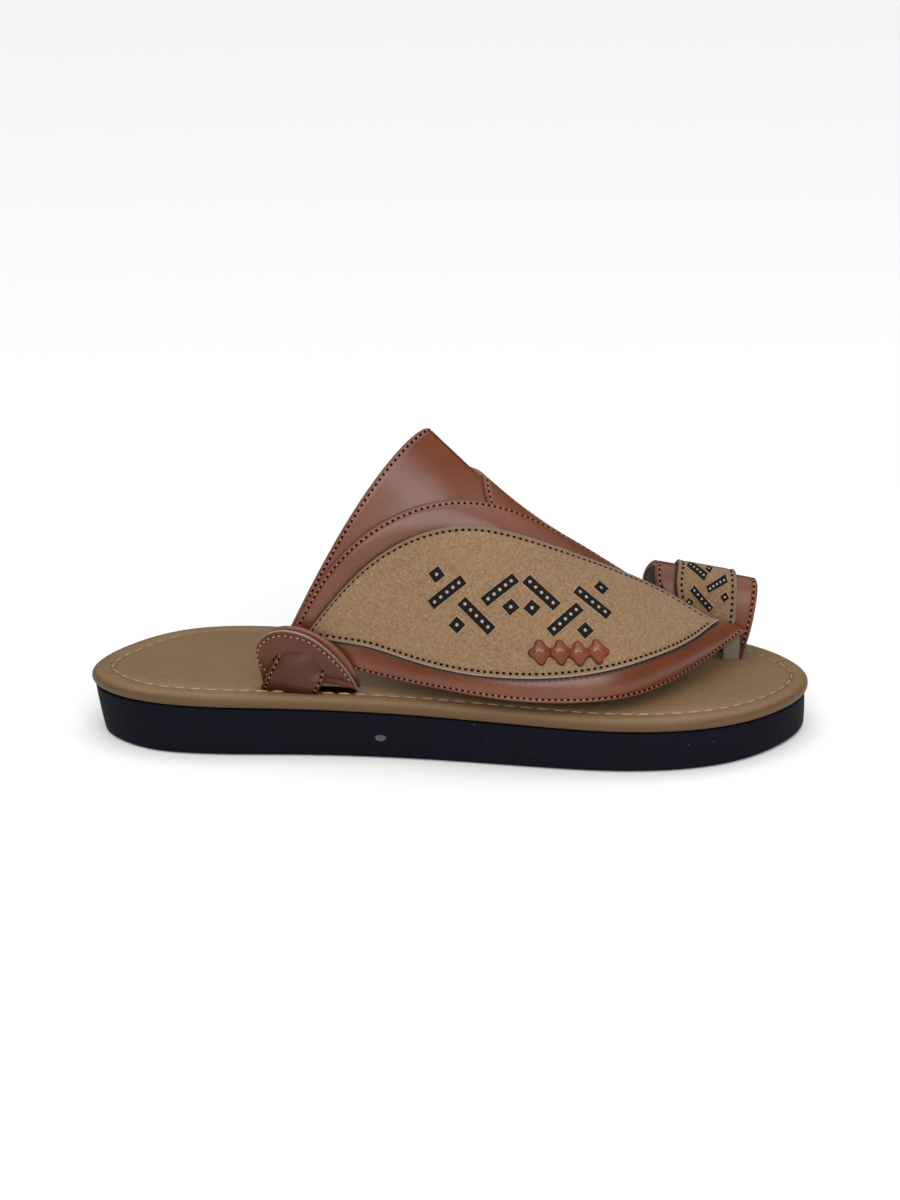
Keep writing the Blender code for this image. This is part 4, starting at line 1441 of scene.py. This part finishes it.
keeper_brown = brown_leather("keeper_leather", 0.84, 0.3, rgb(132, 110, 100), 0.3)
rim_brown = brown_leather("keeper_back_leather", 1.02)
# The strap tails are the strap leather painted darker: painted shade for the shadow they lie in.
shaded_tail_brown = brown_leather("tail_leather_shaded", 0.7, 0.26, shine=0.24)
keeper_thread = plain_dye("keeper_thread", rgb(168, 130, 100), 0.55)
for side, name in ((-1, "lateral"), (1, "medial")):
    form = keeper_surface(side)
    turn = -side
    back_layer = Panel(form, KEEPER_BACK, long_lines=60, wide_lines=24, turn=turn)
    back_layer.shape(KEEPER_WALL, KEEPER_WALL, KEEPER_BACK_EDGE)
    # Painted shade: the back layer is darkened towards its lower edge, for the dark gap under the keeper's
    # lobe.
    dark, clear = KEEPER_SHADE_SPAN
    painted_shade_at_bottom = KEEPER_SHADE * ease((clear - back_layer.from_edge["lower"]) / (clear - dark))
    fit(back_layer.make(f"{name}_keeper_back", [rim_brown], painted_shade_at_bottom), "strap_leather", f"{name}_keeper")
    front_layer = Panel(form, KEEPER_FRONT, long_lines=60, wide_lines=24, turn=turn)
    groove = seam_groove(front_layer.edge, KEEPER_SEAM) * KEEPER_GROOVE
    front_layer.shape(2 * KEEPER_WALL + KEEPER_LAYER_GAP, KEEPER_WALL, KEEPER_FRONT_EDGE, groove)
    front = front_layer.make(f"{name}_keeper_front", [keeper_brown])
    cut_slit(front, side)
    fit(front, "strap_leather", f"{name}_keeper")
    sew(f"{name}_keeper_stitches", [
        front_layer.line("upper", KEEPER_SEAM),
        front_layer.line("start", KEEPER_SEAM, trim=(3, 3)),
    ], KEEPER_STITCH_PITCH, [keeper_thread, needle_hole], KEEPER_STITCH, KEEPER_HOLE)
    tail = Panel(tail_surface(side), STRAIGHT_STRIP, long_lines=60, wide_lines=24, turn=turn)
    tail.shape(LEATHER / 2, LEATHER, TURNED_EDGE, seam_groove(tail.edge))
    fit(tail.make(f"{name}_tail", [shaded_tail_brown, lining]), "strap_leather", "upper")
    sew(f"{name}_tail_stitches", [
        tail.line("upper", EDGE_SEAM, trim=(12, 2)),
        tail.line("lower", EDGE_SEAM, trim=(12, 2)),
    ], *strap_sewing)


# Toe tab: the narrow end of the outer wing, folded down between the toes into the footbed,
# with its grey lining outwards.
TAB_LEATHER = 1.8 * MM
TAB_EDGE = 0.8

# Toe tab: x y z of its middle, half width
TOE_TAB = (
    (108.8, 10.6, 32.0, 3.4),
    (109.5, 11.8, 30.5, 3.4),
    (109.7, 13.0, 25.0, 3.3),
    (109.6, 13.2, 17.8, 3.3),
)


def tab_surface(run, wide):
    run, wide = paired(run, wide)
    row = curve_through(np.linspace(0, 1, len(TOE_TAB)), np.array(TOE_TAB) * MM)(np.clip(run, 0, 1))
    return row[..., :3] + (wide * row[..., 3])[..., None] * np.array([1.0, 0.0, 0.0])


tab = Panel(tab_surface, STRAIGHT_STRIP, long_lines=30, wide_lines=12)
tab.shape(TAB_LEATHER / 2, TAB_LEATHER, TAB_EDGE)
# A darker, warmer copy of the grey lining; its darkness is painted shade for the shadow the tab lies in.
shaded_tab_lining = grey_lining("shaded_tab_lining", rgb(92, 84, 75), rgb(122, 114, 104))
fit(tab.make("toe_tab", [shaded_tab_lining, strap_brown]), "lining", "upper")


# Toe loop: a lined brown band round the big toe, both feet in the footbed, edges turned and sewn.
# A narrower band of the nubuck lies over it, sewn at both edges, with the same dark strips and dots.
LOOP_FOOT_Z = 17.6 * MM
LOOP_SQUARENESS = 2.4
LOOP_LATERAL_Y = 15.5 * MM
LOOP_COVER_TURN = (0.12, 0.90)
LOOP_BAR_BEYOND = 1.1
LOOP_BAR_WIDE = 2.5
LOOP_LIP = 0.2
LOOP_BAND_SHADE = 0.85
LOOP_BAND_SHADE_REACH = 1.2
LOOP_TOE_SHADE = 0.6
LOOP_TOE_SHADE_TURN = (0.08, 0.18)
LOOP_DOT_HALF = 0.5

# Toe loop edges: turn from the lateral foot to the medial foot, rear edge x, front edge x,
# then the rear and front edge x of the band sewn over it
LOOP_EDGES = (
    (0.00, 110.5, 113.5, 103.0, 108.0),
    (0.12, 92.5, 117.1, 93.9, 110.5),
    (0.25, 82.1, 119.1, 88.8, 111.6),
    (0.50, 79.8, 119.6, 88.6, 111.0),
    (0.75, 75.4, 115.2, 85.2, 107.0),
    (1.00, 81.0, 106.0, 86.0, 101.0),
)

# Toe loop sections: share from the rear to the front edge, medial foot y, crown z
LOOP_SECTIONS = (
    (0.0, 38.5, 55.6),
    (1.0, 33.0, 49.2),
)

# Bars on the loop: across and turn of the first dot, then of the last dot
LOOP_BARS = (
    (0.335, 0.470, 0.464, 0.404),
    (0.528, 0.324, 0.663, 0.391),
    (0.369, 0.299, 0.494, 0.219),
)

# Squares on the loop: across and turn of the dot, number of the bar that it is turned with, side
LOOP_SQUARES = (
    (0.515, 0.464, 0, 2.1),
    (0.673, 0.286, 1, 2.6),
    (0.284, 0.234, 2, 2.6),
)
loop_edge_curve = table_curve(LOOP_EDGES)


def loop_surface(across, turn):
    """Middle of the toe loop's band; turn runs over the toe, across from rear to front."""
    across, turn = paired(across, turn)
    turn = np.clip(turn, 0, 1)
    edge = loop_edge_curve(turn)
    rear, front = np.array(LOOP_SECTIONS) * MM
    medial = rear[1] + (front[1] - rear[1]) * across
    crown = rear[2] + (front[2] - rear[2]) * across
    x = edge[..., 0] + (edge[..., 1] - edge[..., 0]) * across
    angle = math.pi * turn
    power = 2 / LOOP_SQUARENESS
    reach = np.sign(np.cos(angle)) * np.abs(np.cos(angle)) ** power
    rise = np.abs(np.sin(angle)) ** power
    y = (LOOP_LATERAL_Y + medial) / 2 - (medial - LOOP_LATERAL_Y) / 2 * reach
    return np.stack([x, y, LOOP_FOOT_Z + (crown - LOOP_FOOT_Z) * rise], axis=-1)


loop_rows = [(0.0, turn, 1.0, turn) for turn in np.linspace(0, 1, 25)]
loop = Panel(loop_surface, loop_rows, long_lines=130, wide_lines=64)
loop.shape(LEATHER / 2, LEATHER, TURNED_EDGE, seam_groove(loop.edge))
loop_brown = brown_leather("loop_leather", 0.97, 0.26, shine=0.34)
# Painted shade: the loop is darkened near its lateral foot, between the toes, and in a line beside the
# nubuck band's rear edge, where the band casts shade.
dark, clear = LOOP_TOE_SHADE_TURN
painted_shade_between_toes = LOOP_TOE_SHADE * ease((clear - loop.t) / (clear - dark))
from_band = (loop.base[..., 0] - loop_edge_curve(loop.t)[..., 2]) / MM
painted_shadow_beside_band = LOOP_BAND_SHADE * np.exp(-(from_band / LOOP_BAND_SHADE_REACH) ** 4)
loop_shade = np.maximum(painted_shade_between_toes, painted_shadow_beside_band)
fit(loop.make("toe_band", [loop_brown, lining], loop_shade), "strap_leather", "toe_loop")
sew("toe_band_stitches", [
    loop.line("upper", EDGE_SEAM, trim=(9, 9)),
    loop.line("lower", EDGE_SEAM, trim=(9, 9)),
], *strap_sewing)

cover_turns = np.linspace(*LOOP_COVER_TURN, 21)
edge_x = loop_edge_curve(cover_turns)
band = edge_x[:, 1] - edge_x[:, 0]
cover_rows = np.column_stack([
    (edge_x[:, 2] - edge_x[:, 0]) / band,
    cover_turns,
    (edge_x[:, 3] - edge_x[:, 0]) / band,
    cover_turns,
])
loop_top = LEATHER / 2 + FIT_GAP + OVERLAY
loop_cover = Panel(loop_surface, cover_rows, long_lines=100, wide_lines=34)
loop_cover.shape(loop_top, OVERLAY, COVER_EDGE, seam_groove(loop_cover.edge, COVER_SEAM))
loop_nubuck = tan_nubuck("loop_nubuck", 0.93)
fit(loop_cover.make("toe_nubuck_band", [loop_nubuck]), "nubuck", "toe_loop_overlay")
sew("toe_nubuck_stitches", [
    loop_cover.line("upper", COVER_SEAM, trim=(2, 2)),
    loop_cover.line("lower", COVER_SEAM, trim=(2, 2)),
], *cover_sewing)

loop_inlay = Inlay(loop_surface, loop_top, LOOP_LIP, LOOP_DOT_HALF)
loop_inlay.lay(LOOP_BARS, LOOP_SQUARES, LOOP_BAR_BEYOND, LOOP_BAR_WIDE)
loop_inlay.make("loop_inlay", strips, pale_lip, silver)
